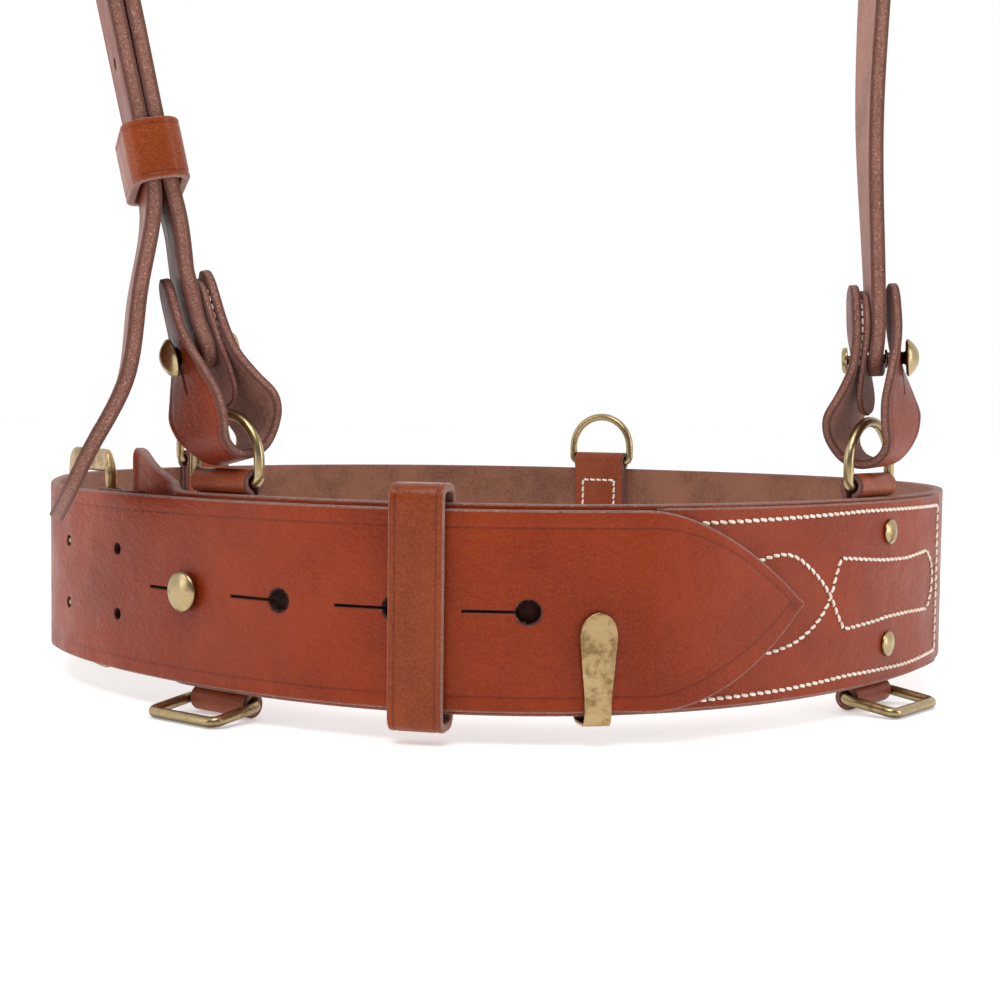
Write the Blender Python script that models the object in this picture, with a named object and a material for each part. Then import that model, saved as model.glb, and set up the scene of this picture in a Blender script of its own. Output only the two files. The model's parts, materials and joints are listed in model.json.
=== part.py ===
"""Leather waist belt with a buttoned shoulder strap, modelled fastened, as it is worn.

Metres, +Z up. The origin is the wearer's waist centre, at half the belt's height. The belt is
fastened at the front, which faces -Y, and +X is on the right of someone who looks at it.
Places on the belt are given as u, the length along it from the first button hole, growing
towards -X; z, the height; and w, the distance outward from the middle of the belt's inner layer.
"""
import math

import bmesh
import bpy
import numpy as np
from mathutils import Vector, geometry

# ---- Waist loop -------------------------------------------------------------
LOOP_RADIUS = 0.1590
LOOP_WAVES = ((2, 0.037, 146.0), (3, 0.018, 15.0), (4, 0.023, 8.0))  # lobes, share, degrees
FRONT_U = 0.0108            # u of the loop's foremost direction, -Y
CLEARANCE = 0.0004          # between pieces that touch

# ---- Belt -------------------------------------------------------------------
LEATHER = 0.0032
BELT_HALF = 0.030
BILLET_HALF = 0.0285
PITCH = 0.0368              # of button and tongue holes on the loop: 38 mm on the outer layer
TIP_U = -0.085              # point of the billet
POINT_START_U = -0.034      # where the billet starts to narrow
POINT_FULLNESS = {1: 1.6, -1: 1.95}  # of its upper and its lower edge
HOLE_RADIUS = 0.0035
SLIT_LENGTH = 0.018
TONGUE_Z = 0.0105           # half the distance between the two tongues
TONGUE_HOLE_RADIUS = 0.0018
LAYER = LEATHER + CLEARANCE
PANEL_THICKNESS = 0.0016
PANEL_RANGE = (-0.184, -0.036)
INNER_END = 0.162           # u of the inner end, behind the billet
INNER_END_DEPTH = -0.0048
INNER_END_FLARE = -0.0050    # how much further in its last stretch stands
INNER_END_RISE = 0.0125

# ---- Fittings on the belt ---------------------------------------------------
KEEPER_U = 0.030
KEEPER_HALF = 0.008
KEEPER_THICKNESS = 0.0026
STUD_U = 3 * PITCH
HOOK_U = -0.0188
WIRE = 0.00165              # ring wire radius
RING_HALF = 0.01415         # half width of a D-ring, to the wire's middle
RING_RISE = 0.0205          # from a D-ring's bar to its top, wire middles
TUBE_Z = 0.0335             # height of the upper tubes
LOWER_TUBE_Z = -0.0340
TAB_DEPTH = -0.0037         # of the tab's first ply
TAB_PLY = 0.0020
TAB_HALF = 0.012
TUBE_DEPTH = -0.0041
TAB_LEFT_U, TAB_RIGHT_U = 0.103, -0.135
TAB_BACK_RIGHT_U, TAB_BACK_LEFT_U = 0.568, 0.360
RIVET_HEIGHTS = {"upper": 0.0190, "lower": -0.0170}
RIVET_RADIUS = 0.0015
RIVET_HEAD = 0.0040
LOWER_RING_SPAN = 0.018
LOWER_RING_DIP = math.radians(8)
HEEL_U, HEEL_W = 0.166, -0.0025
FAR_BAR_U = 0.206
FRAME_HALF = 0.0330         # half the buckle frame's height, to the bars' middles
FRAME_LIFT = 0.0050         # of the frame over the belt's middle
BUCKLE_CHAPE_LIFT = 0.0025
BUCKLE_CHAPE_HALF = 0.0265
BAR_RADIUS = 0.0017

# ---- Shoulder strap ---------------------------------------------------------
STRAP_HALF = 0.0125
STRAP_THICKNESS = 0.0046
PATCH_THICKNESS = 0.0020
CHAPE_THICKNESS = 0.0030
CHAPE_STUD_HEIGHT = 0.020   # above the D-ring's top

MATERIALS = {
    "belt_leather": ((0.296, 0.061, 0.024), 0.42, 0.0),
    "strap_leather": ((0.250, 0.075, 0.040), 0.55, 0.0),
    "chape_leather": ((0.235, 0.050, 0.022), 0.45, 0.0),
    "keeper_leather": ((0.330, 0.085, 0.030), 0.38, 0.0),
    "antique_brass": ((0.305, 0.223, 0.091), 0.38, 1.0),
    "pale_brass": ((0.540, 0.400, 0.188), 0.42, 1.0),
}
ARC_STEPS = 12


# ---- The loop's geometry ----------------------------------------------------
def loop_point(angle):
    """Middle of the belt's inner layer in the direction of angle, seen from above."""
    radius = LOOP_RADIUS * (1 + sum(share * math.cos(lobes * (angle - math.radians(turn)))
                                    for lobes, share, turn in LOOP_WAVES))
    return radius * math.cos(angle), radius * math.sin(angle)


LOOP_ANGLES = -math.pi / 2 - np.linspace(0, 2 * math.pi, 3601)
LOOP_POINTS = np.array([loop_point(angle) for angle in LOOP_ANGLES])
LOOP_LENGTHS = np.concatenate([[0], np.cumsum(np.linalg.norm(np.diff(LOOP_POINTS, axis=0), axis=1))])
GIRTH = float(LOOP_LENGTHS[-1])


def belt_axes(u):
    """Point, direction of growing u and outward direction on the loop, all level."""
    length = (u - FRONT_U) % GIRTH
    angle = float(np.interp(length, LOOP_LENGTHS, LOOP_ANGLES))
    ahead, behind = Vector(loop_point(angle - 0.001)), Vector(loop_point(angle + 0.001))
    along = (ahead - behind).normalized()
    point = Vector(loop_point(angle))
    return point.to_3d(), along.to_3d(), Vector((-along.y, along.x, 0))


def belt_place(u, z, w):
    point, _, out = belt_axes(u)
    return point + out * w + Vector((0, 0, z))


def ease(value, start, end):
    """0 before start, 1 after end, and a smooth rise between."""
    share = min(max((value - start) / (end - start), 0.0), 1.0)
    return share * share * (3 - 2 * share)


# ---- Shared builders --------------------------------------------------------
def material(name):
    made = bpy.data.materials.get(name)
    if made:
        return made
    colour, roughness, metallic = MATERIALS[name]
    made = bpy.data.materials.new(name)
    made.use_nodes = True
    shader = made.node_tree.nodes["Principled BSDF"]
    shader.inputs["Base Color"].default_value = (*colour, 1.0)
    shader.inputs["Roughness"].default_value = roughness
    shader.inputs["Metallic"].default_value = metallic
    return made


def add_object(name, verts, faces, finish, origin=None, smooth=True):
    """A closed mesh object; its origin goes to the joint's axis where it has one."""
    origin = origin or Vector((0, 0, 0))
    mesh = bpy.data.meshes.new(name)
    mesh.from_pydata([Vector(v) - origin for v in verts], [], faces)
    shape = bmesh.new()
    shape.from_mesh(mesh)
    bmesh.ops.recalc_face_normals(shape, faces=shape.faces)
    shape.to_mesh(mesh)
    shape.free()
    own = material(finish).copy()
    own.name = name + "_" + finish
    mesh.materials.append(own)
    if smooth:
        mesh.shade_smooth()
        mesh.set_sharp_from_angle(angle=math.radians(40))
    made = bpy.data.objects.new(name, mesh)
    made.location = origin
    bpy.context.scene.collection.objects.link(made)
    return made


def inside(rings, point):
    """Even-odd test against all rings together, so a hole counts as outside."""
    x, y = point
    crossings = 0
    for ring in rings:
        for (ax, ay), (bx, by) in zip(ring, ring[1:] + ring[:1]):
            if (ay > y) != (by > y) and x < ax + (y - ay) * (bx - ax) / (by - ay):
                crossings += 1
    return crossings % 2 == 1


def flat_triangles(outline, holes, lines):
    """Triangles of a flat piece with holes, cut along each line s = constant."""
    rings = [[(s * 1000, c * 1000) for s, c in ring] for ring in [outline, *holes]]
    points, edges = [], []
    for ring in rings:
        first = len(points)
        points += [Vector(p) for p in ring]
        edges += [(first + i, first + (i + 1) % len(ring)) for i in range(len(ring))]
    reach = max(abs(c) for _, c in rings[0]) + 1
    for s in lines:
        edges.append((len(points), len(points) + 1))
        points += [Vector((s * 1000, -reach)), Vector((s * 1000, reach))]
    flat, _, faces, *_ = geometry.delaunay_2d_cdt(points, edges, [], 0, 1e-4)
    kept = []
    for face in faces:
        corners = [flat[i] for i in face]
        middle = (sum(p.x for p in corners) / 3, sum(p.y for p in corners) / 3)
        area = (corners[1] - corners[0]).cross(corners[2] - corners[0])
        if abs(area) > 1e-7 and inside(rings, middle):
            kept.append(tuple(face))
    return [(p.x / 1000, p.y / 1000) for p in flat], kept


def make_sheet(name, outline, place, thickness, finish, holes=(), lines=()):
    """A flat cut piece, outline in (s, c), bent by place(s, c, w) and given its thickness."""
    flat, faces = flat_triangles(outline, list(holes), lines)
    used = sorted({i for face in faces for i in face})
    top = {old: new for new, old in enumerate(used)}
    count = len(used)
    verts = [place(*flat[i], side * thickness / 2) for side in (1, -1) for i in used]
    solid = [tuple(top[i] for i in face) for face in faces]
    solid += [tuple(top[i] + count for i in reversed(face)) for face in faces]
    seen = {}
    for face in faces:
        for a, b in zip(face, face[1:] + face[:1]):
            seen.setdefault(frozenset((a, b)), []).append((a, b))
    for uses in seen.values():
        if len(uses) == 1:
            a, b = (top[i] for i in uses[0])
            solid.append((b, a, a + count, b + count))
    return add_object(name, verts, solid, finish, smooth=False)


def sweep(name, centres, sections, finish, closed, origin=None):
    """Skin over rings of points, one ring for each centre, capped where the sweep is open."""
    verts = [p for ring in sections for p in ring]
    sides = len(sections[0])
    spans = len(centres) if closed else len(centres) - 1
    faces = []
    for i in range(spans):
        here, there = i * sides, (i + 1) % len(centres) * sides
        for k in range(sides):
            faces.append((here + k, here + (k + 1) % sides, there + (k + 1) % sides, there + k))
    if not closed:
        faces.append(tuple(range(sides)))
        faces.append(tuple(range(len(verts) - sides, len(verts))))
    return add_object(name, verts, faces, finish, origin)


def directions(points, closed):
    """Unit direction of travel at each point of a path."""
    count = len(points)
    result = []
    for i in range(count):
        before = points[(i - 1) % count] if closed or i else points[0]
        after = points[(i + 1) % count] if closed or i < count - 1 else points[-1]
        result.append((after - before).normalized())
    return result


def make_wire(name, points, across, finish, closed=False, radii=None, sides=8, origin=None):
    """A wire along a flat path; across is the path's plane normal."""
    radii = radii or [(WIRE, WIRE)] * len(points)
    sections = []
    for point, along, (wide, deep) in zip(points, directions(points, closed), radii):
        side = along.cross(across).normalized()
        turns = [2 * math.pi * (k + 0.5) / sides for k in range(sides)]
        sections.append([point + side * wide * math.cos(a) + across * deep * math.sin(a) for a in turns])
    return sweep(name, points, sections, finish, closed, origin)


def make_band(name, points, across, half, thickness, finish, origin=None):
    """A closed loop of flat leather, with its width along across."""
    sections = []
    for point, along in zip(points, directions(points, True)):
        side = along.cross(across).normalized() * thickness / 2
        width = across * half
        sections.append([point + side + width, point - side + width, point - side - width,
                         point + side - width])
    return sweep(name, points, sections, finish, True, origin)


def make_turned(name, profile, base, axis, finish, sides=16):
    """A turned piece: profile is (height, radius) along axis, closed at both ends."""
    side = axis.orthogonal().normalized()
    other = axis.cross(side)
    sections, centres = [], []
    for height, radius in profile:
        centre = base + axis * height
        turns = [2 * math.pi * k / sides for k in range(sides)]
        sections.append([centre + (side * math.cos(a) + other * math.sin(a)) * radius for a in turns])
        centres.append(centre)
    return sweep(name, centres, sections, finish, False)


def circle(s, c, radius, steps=ARC_STEPS):
    return [(s + radius * math.cos(2 * math.pi * i / steps), c + radius * math.sin(2 * math.pi * i / steps))
            for i in range(steps)]


def keyhole(s, c, radius, reach, slit=0.0005):
    """A round hole with a thin slit that runs from it to s + reach."""
    start = math.asin(slit / radius) * math.copysign(1, reach)
    turn = 2 * (math.pi - abs(start)) / ARC_STEPS
    first = 0.0 if reach > 0 else math.pi
    angles = [first + abs(start) + turn * i for i in range(ARC_STEPS + 1)]
    ring = [(s + radius * math.cos(a), c + radius * math.sin(a)) for a in angles]
    side = math.copysign(slit, ring[-1][1] - c)
    return ring + [(s + reach, c + side), (s + reach, c - side)]


def smooth_curve(points, steps=6):
    """Points along a smooth curve through the given ones, which may be unevenly spaced."""
    points = [Vector(p) for p in points]
    gaps = [(b - a).length for a, b in zip(points, points[1:])]
    slopes = [(points[1] - points[0]) / gaps[0]]
    for i in range(1, len(points) - 1):
        before = (points[i] - points[i - 1]) / gaps[i - 1]
        after = (points[i + 1] - points[i]) / gaps[i]
        slopes.append((before * gaps[i] + after * gaps[i - 1]) / (gaps[i] + gaps[i - 1]))
    slopes.append((points[-1] - points[-2]) / gaps[-1])
    result = []
    for i, gap in enumerate(gaps):
        for k in range(steps):
            t = k / steps
            result.append(points[i] * (2 * t ** 3 - 3 * t ** 2 + 1) + slopes[i] * gap * (t ** 3 - 2 * t ** 2 + t)
                          + points[i + 1] * (3 * t ** 2 - 2 * t ** 3) + slopes[i + 1] * gap * (t ** 3 - t ** 2))
    return result + [points[-1]]


def rounded_loop(half_a, half_b, radius, steps=4):
    """Corner-rounded rectangle about (0, 0), counter-clockwise."""
    result = []
    for quarter, (sign_a, sign_b) in enumerate(((1, 1), (-1, 1), (-1, -1), (1, -1))):
        for i in range(steps + 1):
            angle = math.pi / 2 * (quarter + i / steps)
            result.append((sign_a * (half_a - radius) + radius * math.cos(angle),
                           sign_b * (half_b - radius) + radius * math.sin(angle)))
    return result


class Ribbon:
    """A bent strip's middle line, with the direction of its width at each point."""

    def __init__(self, points, widths):
        self.points = np.array([tuple(p) for p in points])
        steps = np.linalg.norm(np.diff(self.points, axis=0), axis=1)
        self.lengths = np.concatenate([[0], np.cumsum(steps)])
        self.length = float(self.lengths[-1])
        along = directions([Vector(p) for p in self.points], False)
        self.across = np.array([tuple((w - a * w.dot(a)).normalized()) for w, a in zip(widths, along)])
        self.normal = np.array([tuple(a.cross(Vector(w)).normalized()) for a, w in zip(along, self.across)])

    def read(self, table, s):
        return Vector([np.interp(s, self.lengths, table[:, k]) for k in range(3)])

    def place(self, s, c, w):
        return (self.read(self.points, s) + self.read(self.across, s).normalized() * c
                + self.read(self.normal, s).normalized() * w)


def strip_outline(profile, steps=5):
    """Outline of a strip from (s, half width) points; both ends close on the middle line."""
    upper = [(p.x, p.y) for p in smooth_curve([(s, half, 0) for s, half in profile], steps)]
    lower = [(s, -c) for s, c in reversed(upper) if abs(c) > 1e-6]
    return upper + lower


def even_lines(start, end, step):
    count = max(1, round((end - start) / step))
    return [start + (end - start) * i / count for i in range(1, count)]


# ---- Belt -------------------------------------------------------------------
def belt_lift(s):
    """How far out of the loop the one long strap lies, at length s from the first hole."""
    over_panel = LAYER + PANEL_THICKNESS + 0.0002
    outer = over_panel + (LAYER - over_panel) * ease(s, -0.0355, -0.0255)
    settle = ease(s, 0.202, 0.250)
    sink = ease(s, GIRTH + 0.1195, GIRTH + 0.131)
    flare = ease(s, GIRTH + 0.138, GIRTH + INNER_END)
    return outer * (1 - settle) + INNER_END_DEPTH * sink + INNER_END_FLARE * flare


def strap_place(s, c, w):
    rise = INNER_END_RISE * ease(s, GIRTH + 0.116, GIRTH + 0.160)
    return belt_place(s, c + rise, belt_lift(s) + w)


def billet_half(s, side):
    """Half width of the billet above or below its middle, which narrows to a point."""
    share = min(max((POINT_START_U - s) / (POINT_START_U - TIP_U), 0.0), 1.0)
    return BILLET_HALF * (1 - share ** POINT_FULLNESS[side])


def build_belt_strap():
    end = GIRTH + INNER_END
    edges = {}
    for side in (1, -1):
        points = [TIP_U + (POINT_START_U - TIP_U) * i / 12 for i in range(13)]
        edge = [(s, max(billet_half(s, side), 0.0006)) for s in points]
        edge += [(0.200, BILLET_HALF), (0.225, (BILLET_HALF + BELT_HALF) / 2), (0.250, BELT_HALF)]
        edge += [(end - 0.004, BELT_HALF), (end, BELT_HALF - 0.004)]
        edges[side] = [(s, c * side) for s, c in edge]
    outline = edges[1] + edges[-1][::-1]
    holes = [keyhole(PITCH * i, 0, HOLE_RADIUS, SLIT_LENGTH) for i in range(4)]
    for i in range(4, 8):
        holes += [circle(PITCH * i, side * TONGUE_Z, TONGUE_HOLE_RADIUS, 8) for side in (1, -1)]
    rivet = RIVET_RADIUS + CLEARANCE
    for u in (TAB_RIGHT_U, TAB_LEFT_U):
        holes += [circle(GIRTH + u, z, rivet, 8) for z in RIVET_HEIGHTS.values()]
    holes.append(circle(GIRTH + HOOK_U, -0.018, rivet, 8))
    holes.append(circle(GIRTH + STUD_U, 0, rivet, 8))
    lines = []
    for start, stop, step in ((TIP_U, -0.037, 0.008), (-0.037, -0.025, 0.002), (-0.025, 0.200, 0.009),
                              (0.200, 0.260, 0.006), (0.260, GIRTH + 0.117, 0.011),
                              (GIRTH + 0.117, GIRTH + 0.133, 0.002), (GIRTH + 0.133, end, 0.004)):
        lines += [start, *even_lines(start, stop, step)]
    lines.remove(TIP_U)
    make_sheet("belt_strap", outline, strap_place, LEATHER, "belt_leather", holes, lines)


def build_front_panel():
    start, end = PANEL_RANGE
    outline = [(start, 0.0290), (end, 0.0290), (end, -0.0290), (start, -0.0290)]
    holes = [circle(TAB_RIGHT_U, z, RIVET_RADIUS + CLEARANCE, 8) for z in RIVET_HEIGHTS.values()]
    depth = LEATHER / 2 + 0.0003 + PANEL_THICKNESS / 2
    make_sheet("front_panel", outline, lambda s, c, w: belt_place(s, c, depth + w), PANEL_THICKNESS,
               "belt_leather", holes, even_lines(start, end, 0.009))


def local_frame(u):
    """Axes for a flat fitting at u: it is straight where the belt curves a little."""
    point, along, out = belt_axes(u)
    return lambda a, z, w: point + along * a + out * w + Vector((0, 0, z))


def build_belt_keeper():
    place = local_frame(KEEPER_U)
    _, along, _ = belt_axes(KEEPER_U)
    inner = -LEATHER / 2 - 0.0009
    outer = LAYER + LEATHER / 2 + 0.0009
    middle = (inner + outer) / 2
    half_w = (outer - inner + KEEPER_THICKNESS) / 2
    half_z = BELT_HALF + 0.0026 + KEEPER_THICKNESS / 2
    ring = [place(0, z + 0.0004, middle + w) for w, z in rounded_loop(half_w, half_z, 0.0030)]
    make_band("belt_keeper", ring, along, KEEPER_HALF, KEEPER_THICKNESS, "keeper_leather")


def build_buckle():
    """Heel bar, frame and two tongues, all on the heel bar's axis, and the chape that holds them."""
    heel = belt_place(HEEL_U, 0, HEEL_W)
    far = belt_place(FAR_BAR_U, 0, HEEL_W + 0.0004)
    chord = (far - heel).normalized()
    out = Vector((-chord.y, chord.x, 0))
    span = (far - heel).length

    def place(a, z, b):
        return heel + chord * a + out * b + Vector((0, 0, z))

    ring, radii = [], []
    for a, z in rounded_loop(span / 2, FRAME_HALF, 0.0050):
        ring.append(place(a + span / 2, z + FRAME_LIFT, 0))
        at_heel = a < -span / 2 + 0.0005
        on_side = abs(z) > FRAME_HALF - 0.0005
        radii.append((BAR_RADIUS, BAR_RADIUS) if at_heel else (0.0038 if on_side else 0.0021, 0.0012))
    make_wire("buckle_frame", ring, out, "pale_brass", True, radii, origin=heel)

    hole_in = belt_place(5 * PITCH, 0, LAYER - LEATHER / 2) - heel
    hole_out = belt_place(5 * PITCH, 0, LAYER + 0.0008) - heel
    eye = BAR_RADIUS + 0.0003 + 0.0011
    for name, z in (("tongue_upper", TONGUE_Z), ("tongue_lower", -TONGUE_Z)):
        path = [place(eye * math.cos(math.radians(a)), z, eye * math.sin(math.radians(a)))
                for a in range(-20, -331, -31)]
        path.append(place(0.0085, z, 0.0006))
        path.append(place(hole_in.dot(chord) - 0.006, z, 0.0009))
        path.append(place(hole_in.dot(chord) - 0.0015, z, 0.0020))
        path.append(place(hole_in.dot(chord), z, hole_in.dot(out) + 0.0004))
        path.append(place(hole_out.dot(chord), z, hole_out.dot(out)))
        make_wire(name, path, Vector((0, 0, 1)), "antique_brass", False, [(0.0011, 0.0011)] * len(path),
                  sides=6, origin=Vector((heel.x, heel.y, z)))

    wrap = BAR_RADIUS + CLEARANCE + 0.0010
    back_ply = [belt_place(u, 0, w) for u, w in ((0.1430, -0.00175), (0.1530, -0.00175), (0.1575, -0.0030),
                                                 (0.1610, -0.0048))]
    bend = [place(wrap * math.cos(math.radians(t)), 0, wrap * math.sin(math.radians(t)))
            for t in range(-80, 101, 20)]
    front_ply = [belt_place(u, 0, w) for u, w in ((0.1620, 0.0005), (0.1550, 0.0006), (0.1430, 0.0006))]
    path = back_ply + bend + front_ply
    strip = Ribbon(path, [Vector((0, 0, 1))] * len(path))
    length = strip.length
    middle = float(strip.lengths[len(back_ply) + len(bend) // 2])
    low, high = BUCKLE_CHAPE_LIFT - BUCKLE_CHAPE_HALF, BUCKLE_CHAPE_LIFT + BUCKLE_CHAPE_HALF
    outline = [(0, low), (length, low), (length, high), (0, high)]
    slot_reach = 0.0105
    slots = [[(middle - slot_reach, z - 0.0018), (middle + slot_reach, z - 0.0018),
              (middle + slot_reach, z + 0.0018), (middle - slot_reach, z + 0.0018)]
             for z in (TONGUE_Z, -TONGUE_Z)]
    lines = [float(s) for s in strip.lengths[1:-1]]
    make_sheet("buckle_chape", outline, strip.place, 0.0020, "chape_leather", slots, lines)


def build_belt_stud():
    """Button stud through the billet's last keyhole, and the washer on its foot."""
    point, _, out = belt_axes(STUD_U)
    outer_face = LAYER + LEATHER / 2
    head = outer_face + 0.0010
    foot = TAB_DEPTH - TAB_PLY / 2
    profile = [(foot - 0.0022, RIVET_RADIUS), (LEATHER / 2 + CLEARANCE, RIVET_RADIUS),
               (LEATHER / 2 + CLEARANCE, 0.0024), (head, 0.0024), (head, 0.0058), (head + 0.0012, 0.0062),
               (head + 0.0026, 0.0050), (head + 0.0034, 0.0026), (head + 0.0036, 0.0006)]
    make_turned("belt_stud", profile, point, out, "antique_brass")
    washer = [(foot - 0.0007, 0.0019), (foot - 0.0007, 0.0042), (foot - 0.0017, 0.0042), (foot - 0.0017, 0.0019)]
    make_ring("belt_stud_washer", washer, point, out, "antique_brass")


def make_ring(name, profile, base, axis, finish, sides=16):
    """A turned ring: its closed profile of (height, radius) never meets the axis."""
    side = axis.orthogonal().normalized()
    other = axis.cross(side)
    centres, sections = [], []
    for k in range(sides):
        turn = 2 * math.pi * k / sides
        spoke = side * math.cos(turn) + other * math.sin(turn)
        centres.append(base + spoke)
        sections.append([base + axis * height + spoke * radius for height, radius in profile])
    sweep(name, centres, sections, finish, True)


def build_belt_hook():
    """Flat brass tongue that comes from inside, round the lower edge, over the billet."""
    place = local_frame(HOOK_U)
    _, along, _ = belt_axes(HOOK_U)
    front = LAYER + LEATHER / 2 + 0.0012
    back = -LEATHER / 2 - 0.0015
    low = -BELT_HALF - 0.0019
    path = [(front, 0.0002), (front, -0.010), (front, -0.020), (front, low + 0.003),
            (front - 0.0008, low + 0.0008), (front - 0.0028, low), (back + 0.0028, low),
            (back + 0.0008, low + 0.0008), (back, low + 0.003), (back, -0.020), (back, -0.013)]
    strip = Ribbon([place(0, z, w) for w, z in path], [along] * len(path))
    end = strip.length
    profile = [(0, 0), (0.0007, 0.0022), (0.0028, 0.0044), (0.0052, 0.0052), (0.012, 0.0050),
               (0.026, 0.0039), (0.034, 0.0040), (0.044, 0.0055), (end - 0.002, 0.0052), (end, 0.0035)]
    outline = strip_outline(profile, 3)
    hole_s = end - (0.018 - 0.013)
    rivet = circle(hole_s, 0, RIVET_RADIUS + 0.0003, 8)
    make_sheet("belt_hook", outline, strip.place, 0.0010, "pale_brass", [rivet],
               [float(s) for s in strip.lengths[1:-1]])
    profile = [(-0.0055, 0.0010), (-0.0049, 0.0030), (-0.0040, 0.0030), (-0.0040, RIVET_RADIUS),
               (LEATHER / 2, RIVET_RADIUS)]
    base, _, out = belt_axes(HOOK_U)
    make_turned("hook_rivet", profile, base + Vector((0, 0, -0.018)), out, "antique_brass", 12)


# ---- Ring tabs --------------------------------------------------------------
def tab_path(has_lower):
    """Middle line of a tab in (w, z): folded over its ring bar at each end."""
    turn = WIRE + 0.0004 + TAB_PLY / 2
    pinch = TAB_DEPTH - TAB_PLY - 0.0003
    top_z = BELT_HALF - 0.0020

    def eye(centre_z, flip):
        angles = [math.radians(210 - 28.5 * i) for i in range(11)]
        return [(TUBE_DEPTH + turn * math.cos(a), centre_z + flip * turn * math.sin(a)) for a in angles]

    path = [(pinch, 0.0110), (pinch, top_z), *eye(TUBE_Z, 1), (TAB_DEPTH, top_z)]
    if has_lower:
        return path + [(TAB_DEPTH, -top_z), *reversed(eye(LOWER_TUBE_Z, -1)), (pinch, -top_z), (pinch, -0.0110)]
    return path + [(TAB_DEPTH, -0.0140)]


def build_tab(name, u, has_lower, stud_offset=None):
    place = local_frame(u)
    _, along, _ = belt_axes(u)
    path = tab_path(has_lower)
    strip = Ribbon([place(0, z, w) for w, z in path], [along] * len(path))
    end = strip.length
    corner = 0.003
    outline = [(corner, -TAB_HALF), (end - corner, -TAB_HALF), (end, -TAB_HALF + corner),
               (end, TAB_HALF - corner), (end - corner, TAB_HALF), (corner, TAB_HALF),
               (0, TAB_HALF - corner), (0, -TAB_HALF + corner)]
    holes = []
    if has_lower:
        heights = np.array([z for _, z in path])
        flat_first = next(i for i, (w, _) in enumerate(path) if w == TAB_DEPTH)
        flat_z = path[flat_first][1]
        for z in RIVET_HEIGHTS.values():
            on_ply = float(strip.lengths[flat_first]) + flat_z - z
            holes.append(circle(on_ply, 0, RIVET_RADIUS + CLEARANCE, 8))
        holes.append(circle(RIVET_HEIGHTS["upper"] - 0.0110, 0, RIVET_RADIUS + CLEARANCE, 8))
        holes.append(circle(end - (heights[-1] - RIVET_HEIGHTS["lower"]), 0, RIVET_RADIUS + CLEARANCE, 8))
    if stud_offset is not None:
        holes.append(circle(float(strip.lengths[flat_first]) + flat_z, stud_offset, RIVET_RADIUS + 0.0007, 8))
    make_sheet(name, outline, strip.place, TAB_PLY, "chape_leather", holes,
               [float(s) for s in strip.lengths[1:-1]])


def build_d_ring(name, u):
    place = local_frame(u)
    _, _, out = belt_axes(u)
    path = [(-RING_HALF + 0.0017, 0), (RING_HALF - 0.0017, 0), (RING_HALF - 0.0005, 0.0006),
            (RING_HALF, 0.0022)]
    centre_z = RING_RISE - RING_HALF
    path += [(RING_HALF * math.cos(math.radians(a)), centre_z + RING_HALF * math.sin(math.radians(a)))
             for a in range(0, 181, 15)]
    path += [(-RING_HALF, 0.0022), (-RING_HALF + 0.0005, 0.0006)]
    bar = place(0, TUBE_Z, TUBE_DEPTH)
    points = [place(a, TUBE_Z + z, TUBE_DEPTH) for a, z in path]
    make_wire(name, points, out, "antique_brass", True, origin=bar)


def build_lower_ring(name, u):
    place = local_frame(u)
    outline = rounded_loop(RING_HALF, LOWER_RING_SPAN / 2, 0.0022)
    dip = LOWER_RING_DIP
    points = []
    for a, reach in outline:
        reach += LOWER_RING_SPAN / 2
        points.append(place(a, LOWER_TUBE_Z - reach * math.sin(dip), TUBE_DEPTH + reach * math.cos(dip)))
    _, along, out = belt_axes(u)
    normal = along.cross(out * math.cos(dip) - Vector((0, 0, math.sin(dip)))).normalized()
    make_wire(name, points, normal, "antique_brass", True, origin=place(0, LOWER_TUBE_Z, TUBE_DEPTH))


def build_rivets(side, u, outer_face):
    """Two tubular rivets through a front tab; a face under the billet is left flush."""
    base, _, out = belt_axes(u)
    inner = TAB_DEPTH - TAB_PLY * 1.5 - 0.0006
    for level, z in RIVET_HEIGHTS.items():
        centre = base + Vector((0, 0, z))
        profile = [(inner - 0.0008, 0.0018), (inner, 0.0018), (inner, RIVET_RADIUS)]
        if outer_face:
            face = outer_face + 0.0003
            profile += [(face, RIVET_RADIUS), (face, RIVET_HEAD), (face + 0.0007, RIVET_HEAD - 0.0002),
                        (face + 0.0014, 0.0026), (face + 0.0017, 0.0008)]
        else:
            profile.append((LEATHER / 2, RIVET_RADIUS))
        make_turned(f"rivet_{side}_{level}", profile, centre, out, "antique_brass", 12)
        burr = [(inner + 0.0003, 0.0019), (inner + 0.0003, 0.0038), (inner - 0.0006, 0.0036),
                (inner - 0.0006, 0.0021)]
        make_ring(f"rivet_burr_{side}_{level}", burr, centre, out, "antique_brass", 12)


# ---- Shoulder strap ---------------------------------------------------------
def hanger_frame(u, lean, low_turn, high_turn, side):
    """Axes of a hanger that is folded round a D-ring: n across its leaves, c its width.

    The hanger leans in the X-Z plane, and its width turns from low_turn at the ring to
    high_turn at its top, both in degrees from +X. side is +1 where the stud faces +X.
    """
    top = belt_place(u, TUBE_Z + RING_RISE, TUBE_DEPTH)
    up = Vector((math.sin(math.radians(lean)), 0, math.cos(math.radians(lean))))

    def axes(height):
        turn = math.radians(low_turn + (high_turn - low_turn) * ease(height, 0.0, 0.032))
        width = Vector((math.cos(turn), math.sin(turn), 0))
        width = (width - up * width.dot(up)).normalized()
        across = width.cross(up).normalized()
        return across if across.x * side > 0 else -across, width

    def place(n, height, c=0.0):
        across, width = axes(height)
        return top + up * height + across * n + width * c

    return place, axes


LEFT_HANGER = hanger_frame(TAB_LEFT_U, -15.0, 133.0, 110.0, -1)
RIGHT_HANGER = hanger_frame(TAB_RIGHT_U, -3.0, 56.0, 84.0, 1)
STRAP_MIDDLE = STRAP_THICKNESS / 2 + 0.0001


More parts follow.
